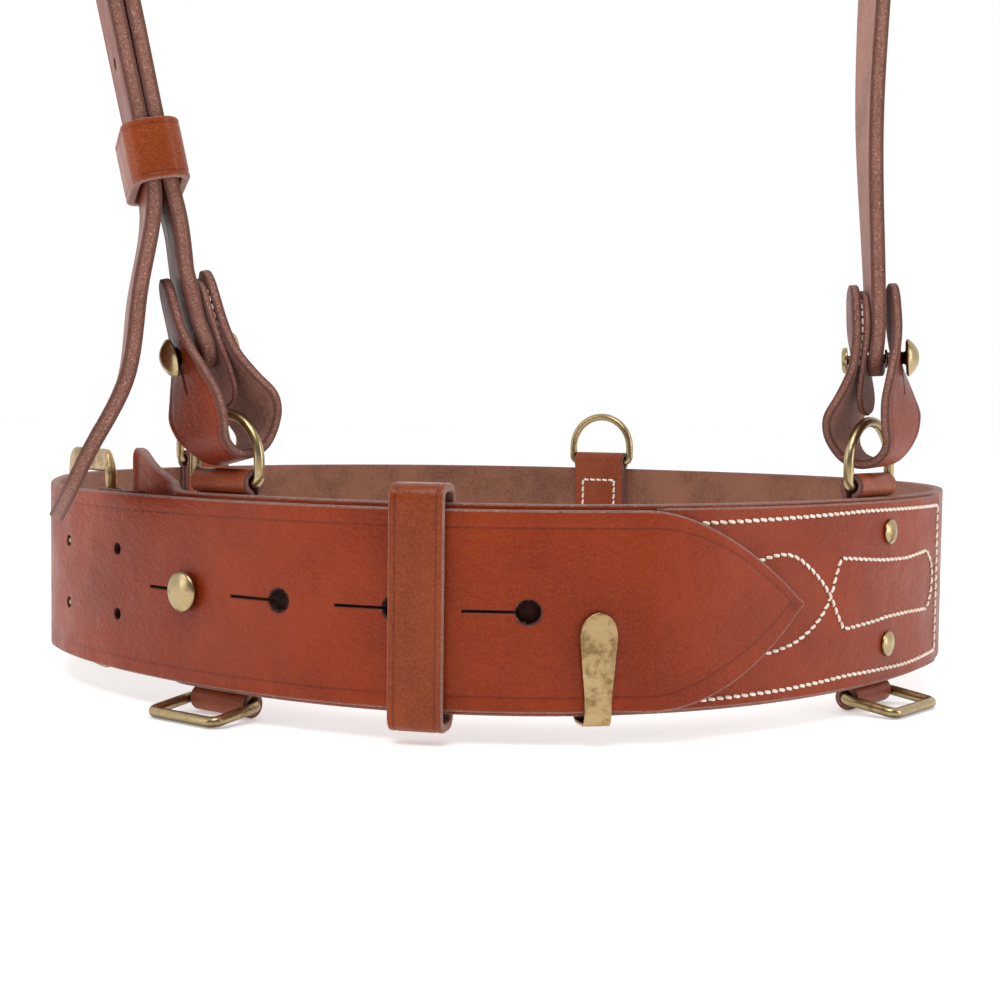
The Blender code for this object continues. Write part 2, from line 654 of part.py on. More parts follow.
def build_chape(name, hanger):
    """Teardrop hanger: near leaf, fold through the ring, and the leaf that buttons on the stud."""
    place, axes = hanger
    half_path = [(-0.0043, 0.044), (-0.0043, 0.035), (-0.0043, 0.026), (-0.0044, 0.017), (-0.0062, 0.009),
                 (-0.0092, 0.000), (-0.0090, -0.007), (-0.0056, -0.0117)]
    other_half = [(0.0056, -0.0117), (0.0092, -0.007), (0.0102, 0.000), (0.0098, 0.009), (0.0088, 0.018),
                  (0.0084, 0.026), (0.0082, 0.035), (0.0080, 0.044)]
    flat = smooth_curve([(n, h, 0) for n, h in half_path + [(0, -0.0134)] + other_half], 2)
    strip = Ribbon([place(p.x, p.y) for p in flat], [axes(p.y)[1] for p in flat])
    end = strip.length
    heights = [p.y for p in flat]
    fold = float(strip.lengths[heights.index(min(heights))])
    shape = ((0.0, 0.0), (0.0012, 0.0042), (0.0040, 0.0070), (0.008, 0.0082), (0.020, 0.0095),
             (0.032, 0.0128), (0.040, 0.0150), (0.046, 0.0140), (0.052, 0.0102), (0.058, 0.0085))
    first = [(s * fold / 0.0625, half) for s, half in shape]
    second = [(end - s * (end - fold) / 0.0625, half) for s, half in reversed(shape)]
    outline = strip_outline(first + second, 2)
    level = min(range(len(flat)), key=lambda i: abs(heights[i] - CHAPE_STUD_HEIGHT) + (i > len(flat) // 2))
    near = float(strip.lengths[level]) + heights[level] - CHAPE_STUD_HEIGHT
    level = min(range(len(flat)), key=lambda i: abs(heights[i] - CHAPE_STUD_HEIGHT) + (i < len(flat) // 2))
    far = float(strip.lengths[level]) - heights[level] + CHAPE_STUD_HEIGHT
    holes = [circle(near, 0, 0.0021, 8), keyhole(far, 0, 0.0029, -0.012)]
    make_sheet(name, outline, strip.place, CHAPE_THICKNESS, "chape_leather", holes,
               [float(s) for s in strip.lengths[1:-1]])


def build_chape_stud(side, hanger):
    """Strap stud with a conical head, and the screw base on the hanger's other leaf."""
    place, axes = hanger
    across, _ = axes(CHAPE_STUD_HEIGHT)
    base = place(0, CHAPE_STUD_HEIGHT)
    flange = STRAP_THICKNESS + 0.0005
    head = 0.0115
    profile = [(-0.0052, 0.0015), (flange, 0.0015), (flange, 0.0030), (flange + 0.0007, 0.0030),
               (flange + 0.0009, 0.0020), (head, 0.0020), (head + 0.0002, 0.0056), (head + 0.0012, 0.0060),
               (head + 0.0030, 0.0040), (head + 0.0042, 0.0016)]
    make_turned("strap_stud_" + side, profile, base, across, "antique_brass", 14)
    profile = [(-0.0084, 0.0030), (-0.0080, 0.0040), (-0.0067, 0.0042), (-0.0067, 0.0015), (-0.0056, 0.0015)]
    make_turned("stud_screw_" + side, profile, base, across, "antique_brass", 12)


def build_patch(side, hanger):
    """Stitched ply that backs the strap's end and carries the stud."""
    place, axes = hanger
    path = [(-0.0013, 0.002 + 0.004 * i) for i in range(11)]
    strip = Ribbon([place(n, h) for n, h in path], [axes(h)[1] for _, h in path])
    end = strip.length
    profile = [(0, 0), (0.0016, 0.0044), (0.005, 0.0068), (0.010, 0.0078), (0.020, 0.0085), (0.030, 0.0098),
               (0.037, 0.0075), (end - 0.001, 0.003), (end, 0)]
    make_sheet("strap_patch_" + side, strip_outline(profile, 2), strip.place, PATCH_THICKNESS,
               "strap_leather", [circle(CHAPE_STUD_HEIGHT - 0.002, 0, 0.0018, 8)],
               [float(s) for s in strip.lengths[1:-1]])


BUCKLE_BAR = Vector((-0.1265, -0.1165, 0.2300))        # heel bar of the shoulder buckle
BUCKLE_UP = Vector((-0.220, 0.06, 0.974)).normalized()  # the left strap's run near it
BUCKLE_OUT = Vector((-0.925, -0.320, -0.189))           # out of the left strap's face there
FOLD_THICKNESS = 0.0024     # the left strap where it is pared to go round the bar
PLY_STEP = 0.0051           # between the middles of two plies that lie on each other
BUCKLE_LENGTH = 0.028
BUCKLE_TILT = 0.0095        # how far the frame's far bar stands out
KEEPER_DOWN = -0.028        # fixed keeper, along the strap from the heel bar
RUNNER_DOWN = -0.103
RUNNER_ROOM = 0.0012        # between the plies and the runner, out of their faces
RUNNER_SIDE = 0.0018        # between the plies' edges and the loops round them


def buckle_axes():
    """Across the strap, up the strap and out of its face, near the shoulder buckle."""
    up = BUCKLE_UP
    out = (BUCKLE_OUT - up * BUCKLE_OUT.dot(up)).normalized()
    across = up.cross(out).normalized()
    return (across if across.y > 0 else -across), up, out


def buckle_place(along, out_by, across_by=0.0):
    """A place from the heel bar's middle: up the strap, out of its face, across it."""
    across, up, out = buckle_axes()
    return BUCKLE_BAR + up * along + out * out_by + across * across_by


def strap_start(hanger):
    """The strap's first stretch, buttoned between the hanger's leaves."""
    place, axes = hanger
    heights = (0.0145, 0.022, 0.030, 0.038, 0.044)
    return [place(STRAP_MIDDLE, h) for h in heights], [axes(h)[1] for h in heights]


def turn_widths(count, start, end):
    """Width directions that turn evenly from start to end."""
    return [start.lerp(end, ease(i, 0, count - 1)).normalized() for i in range(count)]


BUTTONED_END = [(0, 0), (0.0020, 0.0050), (0.006, 0.0080), (0.014, 0.0088), (0.024, 0.0100),
                (0.040, 0.0118), (0.060, STRAP_HALF)]


def strap_outline(length, tip):
    """Buttoned end that widens to the strap's width, and at the other end the tip's points."""
    upper = [(s, abs(c)) for s, c in strip_outline(BUTTONED_END, 2)[:len(BUTTONED_END) * 2 - 1]]
    upper += [(length - back, half) for back, half in tip]
    return upper + [(s, -c) for s, c in reversed(upper) if c > 1e-6]


def strap_lines(strip):
    return [float(s) for s in strip.lengths[1:-1]]


def slot(s, half_length, half_width=0.0020):
    return [(s - half_length, -half_width), (s + half_length, -half_width),
            (s + half_length, half_width), (s - half_length, half_width)]


def build_strap_left():
    """The short strap: up from the left hanger, and folded round the buckle's heel bar."""
    start, start_widths = strap_start(LEFT_HANGER)
    across, _, _ = buckle_axes()
    lie = -PLY_STEP / 2
    turn = BAR_RADIUS + 0.0005 + FOLD_THICKNESS / 2
    bar_out = lie - turn + 0.0012
    rise = smooth_curve([start[-1], buckle_place(-0.123, lie - 0.0004), buckle_place(-0.112, lie),
                         buckle_place(-0.060, lie), buckle_place(-0.020, lie),
                         buckle_place(-0.006, bar_out + turn)], 4)[1:]
    bend = [buckle_place(turn * math.sin(math.radians(a)), bar_out + turn * math.cos(math.radians(a)))
            for a in range(0, 181, 20)]
    back = lie - STRAP_THICKNESS / 2 - 0.0004 - FOLD_THICKNESS / 2
    fall = smooth_curve([buckle_place(-0.006, bar_out - turn), buckle_place(-0.016, back),
                         buckle_place(-0.044, back)], 3)
    points = start + rise + bend + fall
    turning = 5
    widths = start_widths + turn_widths(turning, start_widths[-1], across)
    widths += [across] * (len(rise) - turning + len(bend) + len(fall))
    strip = Ribbon(points, widths)
    end = strip.length
    bend_s = float(strip.lengths[len(start) + len(rise) + len(bend) // 2])
    pared = FOLD_THICKNESS / STRAP_THICKNESS

    def place(s, c, w):
        share = 1 + (pared - 1) * ease(s, bend_s - 0.030, bend_s - 0.012)
        return strip.place(s, c, w * share)

    tip = [(0.020, STRAP_HALF), (0.006, 0.0110), (0.0015, 0.0060), (0.0, 0.0)]
    holes = [circle(CHAPE_STUD_HEIGHT - 0.0145, 0, 0.0020, 8), slot(bend_s, 0.0102)]
    make_sheet("strap_left", strap_outline(end, tip), place, STRAP_THICKNESS, "strap_leather", holes,
               strap_lines(strip))


def build_strap_right():
    """The long strap: from the right hanger over the shoulder, through the buckle, to its tail."""
    start, start_widths = strap_start(RIGHT_HANGER)
    across, _, _ = buckle_axes()
    lie = PLY_STEP / 2
    arch = [start[-1], Vector((0.1195, -0.092, 0.150)), Vector((0.1215, -0.088, 0.210)),
            Vector((0.1240, -0.082, 0.290)), Vector((0.1100, -0.074, 0.372)), Vector((0.0680, -0.068, 0.440)),
            Vector((0.0060, -0.068, 0.470)), Vector((-0.0600, -0.074, 0.446)), Vector((-0.1060, -0.086, 0.390)),
            Vector((-0.1300, -0.099, 0.325)), buckle_place(0.050, -0.0020), buckle_place(0.030, -0.0016),
            buckle_place(0.012, 0.0012), buckle_place(-0.004, lie)]
    arch = smooth_curve(arch, 5)[1:]
    fall = [arch[-1], buckle_place(-0.020, lie), buckle_place(-0.060, lie), buckle_place(-0.100, lie),
            buckle_place(-0.112, lie), Vector((-0.1068, -0.1300, 0.088)), Vector((-0.1100, -0.1310, 0.064)),
            Vector((-0.1215, -0.1270, 0.043)), belt_place(0.159, 0.0255, 0.0172)]
    fall = smooth_curve(fall, 4)[1:]
    facing = Vector((-0.04, 1, 0)).normalized()
    hang = Vector((-0.24, 0.97, 0)).normalized()
    twisted = 20
    widths = start_widths + turn_widths(twisted, start_widths[-1], facing)
    widths += turn_widths(len(arch) - twisted, facing, across)
    widths += [across.lerp(hang, ease(i, len(fall) / 2, len(fall) - 1)).normalized()
               for i in range(len(fall))]
    strip = Ribbon(start + arch + fall, widths)
    end = strip.length
    tip = [(0.080, STRAP_HALF), (0.040, 0.0112), (0.0125, 0.0104), (0.0070, 0.0098), (0.0030, 0.0074),
           (0.0008, 0.0040), (0.0, 0.0)]
    heel_s = float(strip.lengths[len(start) + len(arch) - 1]) - 0.004
    punched = [circle(heel_s + 0.024 * i, 0, 0.0018, 8) for i in (2, 3)]
    holes = [circle(CHAPE_STUD_HEIGHT - 0.0145, 0, 0.0020, 8), slot(heel_s - 0.0105, 0.0085), *punched]
    make_sheet("strap_right", strap_outline(end, tip), strip.place, STRAP_THICKNESS, "strap_leather", holes,
               strap_lines(strip))


def build_shoulder_buckle():
    """Frame and tongue of the shoulder buckle, both on the heel bar's axis."""
    across, up, out = buckle_axes()
    heel_out = -PLY_STEP / 2 - (BAR_RADIUS + 0.0005 + FOLD_THICKNESS / 2) + 0.0012
    tilt = math.atan2(BUCKLE_TILT, BUCKLE_LENGTH)
    heel = buckle_place(0, heel_out)
    along = up * math.cos(tilt) + out * math.sin(tilt)
    face = out * math.cos(tilt) - up * math.sin(tilt)
    half = STRAP_HALF + 0.0036
    ring = [heel + along * (a + BUCKLE_LENGTH / 2) + across * c
            for a, c in rounded_loop(BUCKLE_LENGTH / 2, half, 0.0030)]
    make_wire("brace_buckle", ring, face, "antique_brass", True, [(BAR_RADIUS, BAR_RADIUS)] * len(ring),
              origin=heel)
    thick = 0.0012
    eye = BAR_RADIUS + 0.0003 + thick
    path = [heel + along * eye * math.cos(math.radians(a)) + face * eye * math.sin(math.radians(a))
            for a in range(-20, -331, -31)]
    rest = BAR_RADIUS + thick + 0.0004
    path += [heel + along * 0.010 + face * 0.0020, heel + along * 0.020 + face * (rest - 0.0002),
             heel + along * (BUCKLE_LENGTH + 0.0020) + face * rest]
    make_wire("brace_tongue", path, across, "antique_brass", False, [(thick, thick)] * len(path), sides=6,
              origin=heel)


def build_strap_loop(name, along, half_length, inner_low, inner_high, thickness, corner):
    """A closed leather loop round the plies that lie between inner_low and inner_high."""
    _, up, _ = buckle_axes()
    middle = (inner_low + inner_high) / 2
    half_out = (inner_high - inner_low + thickness) / 2
    ring = [buckle_place(along, middle + b, c)
            for c, b in rounded_loop(STRAP_HALF + RUNNER_SIDE + thickness / 2, half_out, corner, 6)]
    make_band(name, ring, up, half_length, thickness, "keeper_leather", origin=buckle_place(along, middle))


def build_strap_loops():
    face = PLY_STEP / 2 + STRAP_THICKNESS / 2
    room = RUNNER_ROOM
    build_strap_loop("strap_runner", RUNNER_DOWN, 0.0090, -face - room, face + room, 0.0026, 0.0055)
    back = -face - 0.0004 - FOLD_THICKNESS
    build_strap_loop("brace_keeper", KEEPER_DOWN, 0.0060, back - 0.0007, face + 0.0008, 0.0024, 0.0024)


def clear_scene():
    for item in list(bpy.data.objects):
        bpy.data.objects.remove(item, do_unlink=True)


def main():
    clear_scene()
    build_belt_strap()
    build_front_panel()
    build_belt_keeper()
    build_buckle()
    build_belt_stud()
    build_belt_hook()
    build_tab("tab_front_left", TAB_LEFT_U, True, STUD_U - TAB_LEFT_U)
    build_tab("tab_front_right", TAB_RIGHT_U, True)
    build_tab("tab_back_left", TAB_BACK_LEFT_U, False)
    build_tab("tab_back_right", TAB_BACK_RIGHT_U, False)
    for name, u in (("front_left", TAB_LEFT_U), ("front_right", TAB_RIGHT_U),
                    ("back_left", TAB_BACK_LEFT_U), ("back_right", TAB_BACK_RIGHT_U)):
        build_d_ring("d_ring_" + name, u)
    build_lower_ring("lower_ring_left", TAB_LEFT_U)
    build_lower_ring("lower_ring_right", TAB_RIGHT_U)
    build_rivets("left", TAB_LEFT_U, None)
    build_rivets("right", TAB_RIGHT_U, LEATHER / 2 + 0.0003 + PANEL_THICKNESS)
    for side, hanger in (("left", LEFT_HANGER), ("right", RIGHT_HANGER)):
        build_chape("chape_" + side, hanger)
        build_chape_stud(side, hanger)
        build_patch(side, hanger)
    build_strap_left()
    build_strap_right()
    build_shoulder_buckle()
    build_strap_loops()


main()
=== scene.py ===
"""Looks of the leather waist belt and its shoulder strap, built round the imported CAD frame.

Metres, +Z up, in the frame's own axes: the belt is fastened at the front, which faces -Y.
Places on the belt are given as u, the length along it from the first button hole, growing
towards -X; z, the height; and w, the distance outward from the middle of the inner layer.
Flat pieces are cut in (s, c), along and across the leather, and then bent into place.
"""
import json
import math
import random

import bmesh
import bpy
import numpy as np
from mathutils import Matrix, Vector, geometry


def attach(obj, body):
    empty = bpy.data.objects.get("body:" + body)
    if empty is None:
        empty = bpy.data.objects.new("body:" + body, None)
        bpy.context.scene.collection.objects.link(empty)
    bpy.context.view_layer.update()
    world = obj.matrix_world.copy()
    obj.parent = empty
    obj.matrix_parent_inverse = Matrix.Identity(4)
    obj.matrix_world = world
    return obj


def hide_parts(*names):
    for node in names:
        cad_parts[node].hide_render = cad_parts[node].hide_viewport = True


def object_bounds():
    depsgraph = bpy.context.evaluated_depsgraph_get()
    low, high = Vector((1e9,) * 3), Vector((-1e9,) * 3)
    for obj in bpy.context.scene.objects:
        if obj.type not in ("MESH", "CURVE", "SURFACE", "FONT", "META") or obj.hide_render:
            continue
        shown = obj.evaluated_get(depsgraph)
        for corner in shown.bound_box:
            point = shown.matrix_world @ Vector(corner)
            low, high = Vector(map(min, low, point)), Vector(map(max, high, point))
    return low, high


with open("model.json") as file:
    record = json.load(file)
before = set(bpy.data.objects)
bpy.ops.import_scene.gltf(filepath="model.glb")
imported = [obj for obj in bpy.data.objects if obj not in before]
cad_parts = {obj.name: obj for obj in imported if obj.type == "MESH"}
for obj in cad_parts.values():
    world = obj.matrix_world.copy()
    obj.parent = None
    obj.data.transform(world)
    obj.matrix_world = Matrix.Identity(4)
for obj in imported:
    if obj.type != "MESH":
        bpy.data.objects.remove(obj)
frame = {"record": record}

CAD_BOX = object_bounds()
RECORD = frame["record"]
BODY = {node: body for body, nodes in RECORD["behaviour"]["bodies"].items() for node in nodes}

# ---- Waist loop
LOOP_RADIUS = 0.1590
LOOP_WAVES = ((2, 0.037, 146.0), (3, 0.018, 15.0), (4, 0.023, 8.0))  # lobes, share, degrees
FRONT_U = 0.0108            # u of the loop's foremost direction, -Y
CLEARANCE = 0.0004          # between pieces that touch

# ---- Belt
LEATHER = 0.0032
BELT_HALF = 0.030
BILLET_HALF = 0.0285
KEYHOLES = 4                # and as many pairs of tongue holes after them
PITCH = 0.0368              # of button and tongue holes on the loop: 38 mm on the outer layer
TIP_U = -0.085              # point of the billet
POINT_START_U = -0.034      # where the billet starts to narrow
POINT_FULLNESS = {1: 1.6, -1: 1.95}  # of its upper and its lower edge
HOLE_RADIUS = 0.0035
SLIT_LENGTH = 0.018
TONGUE_Z = 0.0105           # half the distance between the two tongues
TONGUE_HOLE_RADIUS = 0.0018
LAYER = LEATHER + CLEARANCE
PANEL_THICKNESS = 0.0016
PANEL_RANGE = (-0.184, -0.036)
INNER_END = 0.162           # u of the inner end, behind the billet
INNER_END_DEPTH = -0.0048
INNER_END_FLARE = -0.0050    # how much further in its last stretch stands
INNER_END_RISE = 0.0125

# ---- Fittings on the belt
KEEPER_U = 0.030
KEEPER_HALF = 0.008
KEEPER_THICKNESS = 0.0026
STUD_U = 3 * PITCH
HOOK_U = -0.0188
HOOK_RIVET_Z = -0.018
WIRE = 0.00165              # ring wire radius
RING_HALF = 0.01415         # half width of a D-ring, to the wire's middle
RING_RISE = 0.0205          # from a D-ring's bar to its top, wire middles
TUBE_Z = 0.0335             # height of the upper tubes
LOWER_TUBE_Z = -0.0340
TAB_DEPTH = -0.0037         # of the tab's first ply
TAB_PLY = 0.0020
TAB_HALF = 0.012
TUBE_DEPTH = -0.0041
TAB_LEFT_U, TAB_RIGHT_U = 0.103, -0.135
TAB_BACK_RIGHT_U, TAB_BACK_LEFT_U = 0.568, 0.360
RIVET_HEIGHTS = {"upper": 0.0190, "lower": -0.0170}
RIVET_RADIUS = 0.0015
RIVET_HEAD = 0.0040
LOWER_RING_SPAN = 0.018
LOWER_RING_DIP = math.radians(8)
HEEL_U, HEEL_W = 0.166, -0.0025
FAR_BAR_U = 0.206
FRAME_HALF = 0.0330         # half the buckle frame's height, to the bars' middles
FRAME_LIFT = 0.0050         # of the frame over the belt's middle
BUCKLE_CHAPE_LIFT = 0.0025
BUCKLE_CHAPE_HALF = 0.0265
BAR_RADIUS = 0.0017

# ---- Shoulder strap
STRAP_HALF = 0.0125
STRAP_THICKNESS = 0.0046
PATCH_THICKNESS = 0.0020
CHAPE_THICKNESS = 0.0030
CHAPE_STUD_HEIGHT = 0.020   # above the D-ring's top

# ---- Detail
EDGE_ROUND = 0.0006         # rounding of a cut leather edge
FINE_ROUND = 0.0004         # and of a thin piece's edge
GROOVE = 0.00028            # depth of a crease line
GROOVE_HALF = 0.00045       # and its reach to each side
STITCH_PITCH = 0.0029
THREAD = 0.00050            # radius of the thread
CUT_REACH = 0.8             # share of a rounding that shows as cut edge
DARK_RIM_REACH = 0.5           # share of a hole's rounding that is burnished and darkened further as painted shade
WIRE_END = (0.45, 0.55)     # length and size of a wire's rounded end, as shares of its radius
WIRE_SIDES = 18
TURN_SIDES = 40
KEYHOLE_STEPS = 28
EYE_STEPS = [210 - 285 / 24 * i for i in range(25)]  # degrees, of a tab's fold round its ring
EYE_TURNS = range(-20, -321, -12)  # degrees, of the eye that a buckle's tongue has round its bar
THREAD_SIDES = 8
# The last of these, on hole walls and rims, is burnished leather darkened further as painted shade.
GRAIN, INNER, CUT, BURNT_AND_SHADED = range(4)  # materials of a leather piece's faces
UP = Vector((0, 0, 1))


# ---- Angles
def cosd(degrees):
    return math.cos(math.radians(degrees))


def sind(degrees):
    return math.sin(math.radians(degrees))


def spaced_turns(count, start=0.0):
    """Angles of count even steps round a circle."""
    return [2 * math.pi * (k + start) / count for k in range(count)]


# ---- Materials
def tint(red, green, blue):
    """A colour given as it looks, 0 to 255, as the shader's linear values."""
    parts = [value / 255 for value in (red, green, blue)]
    return tuple(p / 12.92 if p <= 0.04045 else ((p + 0.055) / 1.055) ** 2.4 for p in parts) + (1.0,)


class Surface:
    """A new material, with short calls that add nodes in front of its Principled shader."""

    def __init__(self, name):
        self.material = bpy.data.materials.new(name)
        self.material.use_nodes = True
        self.tree = self.material.node_tree
        self.shader = self.tree.nodes["Principled BSDF"]
        self.position = self.add("ShaderNodeTexCoord").outputs["Object"]

    def add(self, kind, **inputs):
        node = self.tree.nodes.new(kind)
        for key, value in inputs.items():
            self.feed(node.inputs[key], value)
        return node

    def feed(self, socket, value):
        if isinstance(value, bpy.types.NodeSocket):
            self.tree.links.new(value, socket)
        else:
            socket.default_value = value

    def noise(self, scale, detail, roughness=0.5, stretch=(1, 1, 1)):
        moved = self.add("ShaderNodeMapping", Vector=self.position, Scale=stretch)
        made = self.add("ShaderNodeTexNoise", Vector=moved.outputs[0], Scale=scale, Detail=detail,
                        Roughness=roughness)
        return made.outputs[0]

    def cells(self, scale):
        made = self.add("ShaderNodeTexVoronoi", Vector=self.position, Scale=scale)
        return made.outputs["Distance"]

    def attribute(self, name):
        made = self.add("ShaderNodeAttribute")
        made.attribute_name = name
        return made.outputs["Fac"]

    def ramp(self, value, low, high, to_low=0.0, to_high=1.0):
        """value from low to high, changed smoothly to a value from to_low to to_high."""
        made = self.tree.nodes.new("ShaderNodeMapRange")
        made.interpolation_type = "SMOOTHSTEP"
        for key, number in (("Value", value), ("From Min", low), ("From Max", high),
                            ("To Min", to_low), ("To Max", to_high)):
            self.feed(made.inputs[key], number)
        return made.outputs[0]

    def mix(self, share, first, second):
        made = self.tree.nodes.new("ShaderNodeMix")
        made.data_type = "RGBA"
        for index, value in ((0, share), (6, first), (7, second)):
            self.feed(made.inputs[index], value)
        return made.outputs[2]

    def reckon(self, operation, first, second):
        made = self.tree.nodes.new("ShaderNodeMath")
        made.operation = operation
        self.feed(made.inputs[0], first)
        self.feed(made.inputs[1], second)
        return made.outputs[0]

    def cover(self, colour, value, share, over):
        """colour with over laid on it where value is high, at most to share."""
        return self.mix(self.reckon("MULTIPLY", value, share), colour, over)

    def bump(self, height, strength, distance, below=None):
        made = self.add("ShaderNodeBump", Height=height, Strength=strength, Distance=distance)
        if below:
            self.feed(made.inputs["Normal"], below)
        return made.outputs[0]

    def finish(self, colour, roughness, normal, **constants):
        self.feed(self.shader.inputs["Base Color"], colour)
        self.feed(self.shader.inputs["Roughness"], roughness)
        self.feed(self.shader.inputs["Normal"], normal)
        for key, value in constants.items():
            self.shader.inputs[key.replace("_", " ")].default_value = value
        return self.material


def grain_leather(name, base, deep, pale, low_rough=0.34, high_rough=0.48, coat=0.06):
    """Smooth side of waxed leather: clouded colour, pores, faint wrinkles, and painted shade that darkens
    the crease grooves.
    """
    s = Surface(name)
    cloud = s.ramp(s.noise(26, 5, 0.6), 0.30, 0.72)
    upright = s.ramp(s.noise(150, 3, 0.6, (1, 1, 0.22)), 0.40, 0.75)
    fine = s.ramp(s.noise(1300, 2, 0.6), 0.35, 0.75)
    colour = s.mix(cloud, base, deep)
    colour = s.cover(colour, upright, 0.30, deep)
    colour = s.cover(colour, fine, 0.38, pale)
    speck = s.ramp(s.noise(420, 2, 0.5), 0.70, 0.78)
    colour = s.cover(colour, speck, 0.75, deep)
    # Painted shade: the crease grooves are darkened in the colour itself.
    crease = s.attribute("crease")
    colour = s.cover(colour, crease, 0.45, tint(72, 26, 14))
    pore = s.ramp(s.cells(1050), 0.05, 0.55)
    wrinkle = s.noise(260, 4, 0.62, (1, 1, 1.8))
    swell = s.bump(s.noise(34, 2, 0.5), 0.10, 0.006)
    wrinkled = s.bump(wrinkle, 0.30, 0.0016, swell)
    normal = s.bump(pore, 0.34, 0.00016, wrinkled)
    rough = s.ramp(s.noise(75, 4, 0.6), 0.3, 0.7, low_rough, high_rough)
    return s.finish(colour, rough, normal, Coat_Weight=coat, Coat_Roughness=0.22,
                    Specular_IOR_Level=0.20)


def flesh_leather(name, base, deep, pale):
    """Fibrous inner side of leather: matt, mottled and slightly napped."""
    s = Surface(name)
    cloud = s.ramp(s.noise(55, 6, 0.65), 0.34, 0.68)
    fibre = s.ramp(s.noise(900, 4, 0.7), 0.36, 0.68)
    colour = s.mix(cloud, base, deep)
    colour = s.cover(colour, fibre, 0.40, pale)
    nap = s.bump(s.noise(380, 4, 0.65), 0.28, 0.0011)
    normal = s.bump(s.noise(1500, 3, 0.6), 0.35, 0.00025, nap)
    return s.finish(colour, s.ramp(cloud, 0, 1, 0.72, 0.62), normal, Sheen_Weight=0.10,
                    Sheen_Roughness=0.5, Specular_IOR_Level=0.2)


def edge_leather(name, base, deep, pale, stain):
    """Cut edge of leather: rough, speckled with fibres, and darker by stain along its lips."""
    s = Surface(name)
    cloud = s.ramp(s.noise(130, 3, 0.6), 0.30, 0.75)
    fleck = s.ramp(s.noise(1300, 4, 0.75), 0.46, 0.62)
    bright = s.ramp(s.noise(1800, 3, 0.7), 0.53, 0.68)
    lip = s.reckon("ABSOLUTE", s.attribute("lip"), 0.0)
    colour = s.cover(base, cloud, 0.40, deep)
    colour = s.cover(colour, fleck, 0.60, deep)
    colour = s.cover(colour, bright, 0.70, pale)
    colour = s.cover(colour, s.ramp(lip, 0.45, 1.0), stain, deep)
    rough_edge = s.bump(s.noise(620, 4, 0.7), 0.55, 0.0008)
    normal = s.bump(s.noise(2100, 2, 0.6), 0.45, 0.0003, rough_edge)
    return s.finish(colour, 0.66, normal, Sheen_Weight=0.12, Sheen_Roughness=0.5,
                    Specular_IOR_Level=0.25)


def brass(name, base, patina, pale, cover, low_rough, high_rough):
    """Brass with patina in patches, fine scratches and rubbed spots."""
    s = Surface(name)
    patch = s.ramp(s.noise(170, 6, 0.7), cover - 0.08, cover + 0.10)
    rub = s.ramp(s.noise(130, 4, 0.6), 0.50, 0.70)
    scratch = s.ramp(s.noise(900, 2, 0.6, (0.10, 1.0, 1.4)), 0.60, 0.72)
    hollow = s.add("ShaderNodeAmbientOcclusion", Distance=0.0035)
    hollow.samples = 4
    shade = s.ramp(hollow.outputs["AO"], 0.35, 0.85)
    colour = s.mix(patch, patina, base)
    colour = s.cover(colour, rub, 0.45, pale)
    colour = s.cover(colour, scratch, 0.30, pale)
    colour = s.mix(shade, patina, colour)
    dents = s.bump(s.noise(300, 3, 0.6), 0.12, 0.0010)
    normal = s.bump(s.noise(1500, 2, 0.6), 0.10, 0.00015, dents)
    rough = s.ramp(patch, 0, 1, high_rough, low_rough)
    return s.finish(colour, rough, normal, Metallic=1.0)


def linen_thread():
    """Waxed linen thread: cream, slightly uneven, with its strands' twist."""
    s = Surface("linen_thread")
    cloud = s.ramp(s.noise(700, 3, 0.6), 0.35, 0.7)
    colour = s.mix(cloud, tint(250, 238, 224), tint(222, 198, 174))
    made = s.add("ShaderNodeTexWave", Vector=s.position, Scale=900.0, Distortion=2.0, Detail=2.0)
    made.bands_direction = "DIAGONAL"
    return s.finish(colour, 0.62, s.bump(made.outputs["Fac"], 0.35, 0.0001), Sheen_Weight=0.2,
                    Sheen_Roughness=0.4)


def awl_hole_painted_shade():
    """Painted shade: a near-black mark that stands in for the dark pricked hole that each stitch goes down
    into.
    """
    s = Surface("awl_hole_painted_shade")
    colour = s.mix(s.ramp(s.noise(1500, 2), 0.4, 0.6), tint(38, 14, 8), tint(60, 24, 14))
    return s.finish(colour, 0.8, s.bump(s.noise(2000, 2), 0.3, 0.0001))


def tints(*colours):
    return [tint(*colour) for colour in colours]


FLESH = flesh_leather("flesh_side", *tints((141, 93, 72), (112, 70, 53), (160, 114, 92)))
STRAP_FLESH = flesh_leather("strap_flesh_side", *tints((158, 106, 90), (120, 74, 60), (184, 138, 122)))
BELT_EDGE = edge_leather("belt_cut_edge", *tints((158, 112, 97), (98, 58, 48), (204, 172, 160)), 0.25)
STRAP_EDGE = edge_leather("strap_cut_edge", *tints((144, 96, 82), (88, 50, 40), (193, 160, 147)), 0.80)
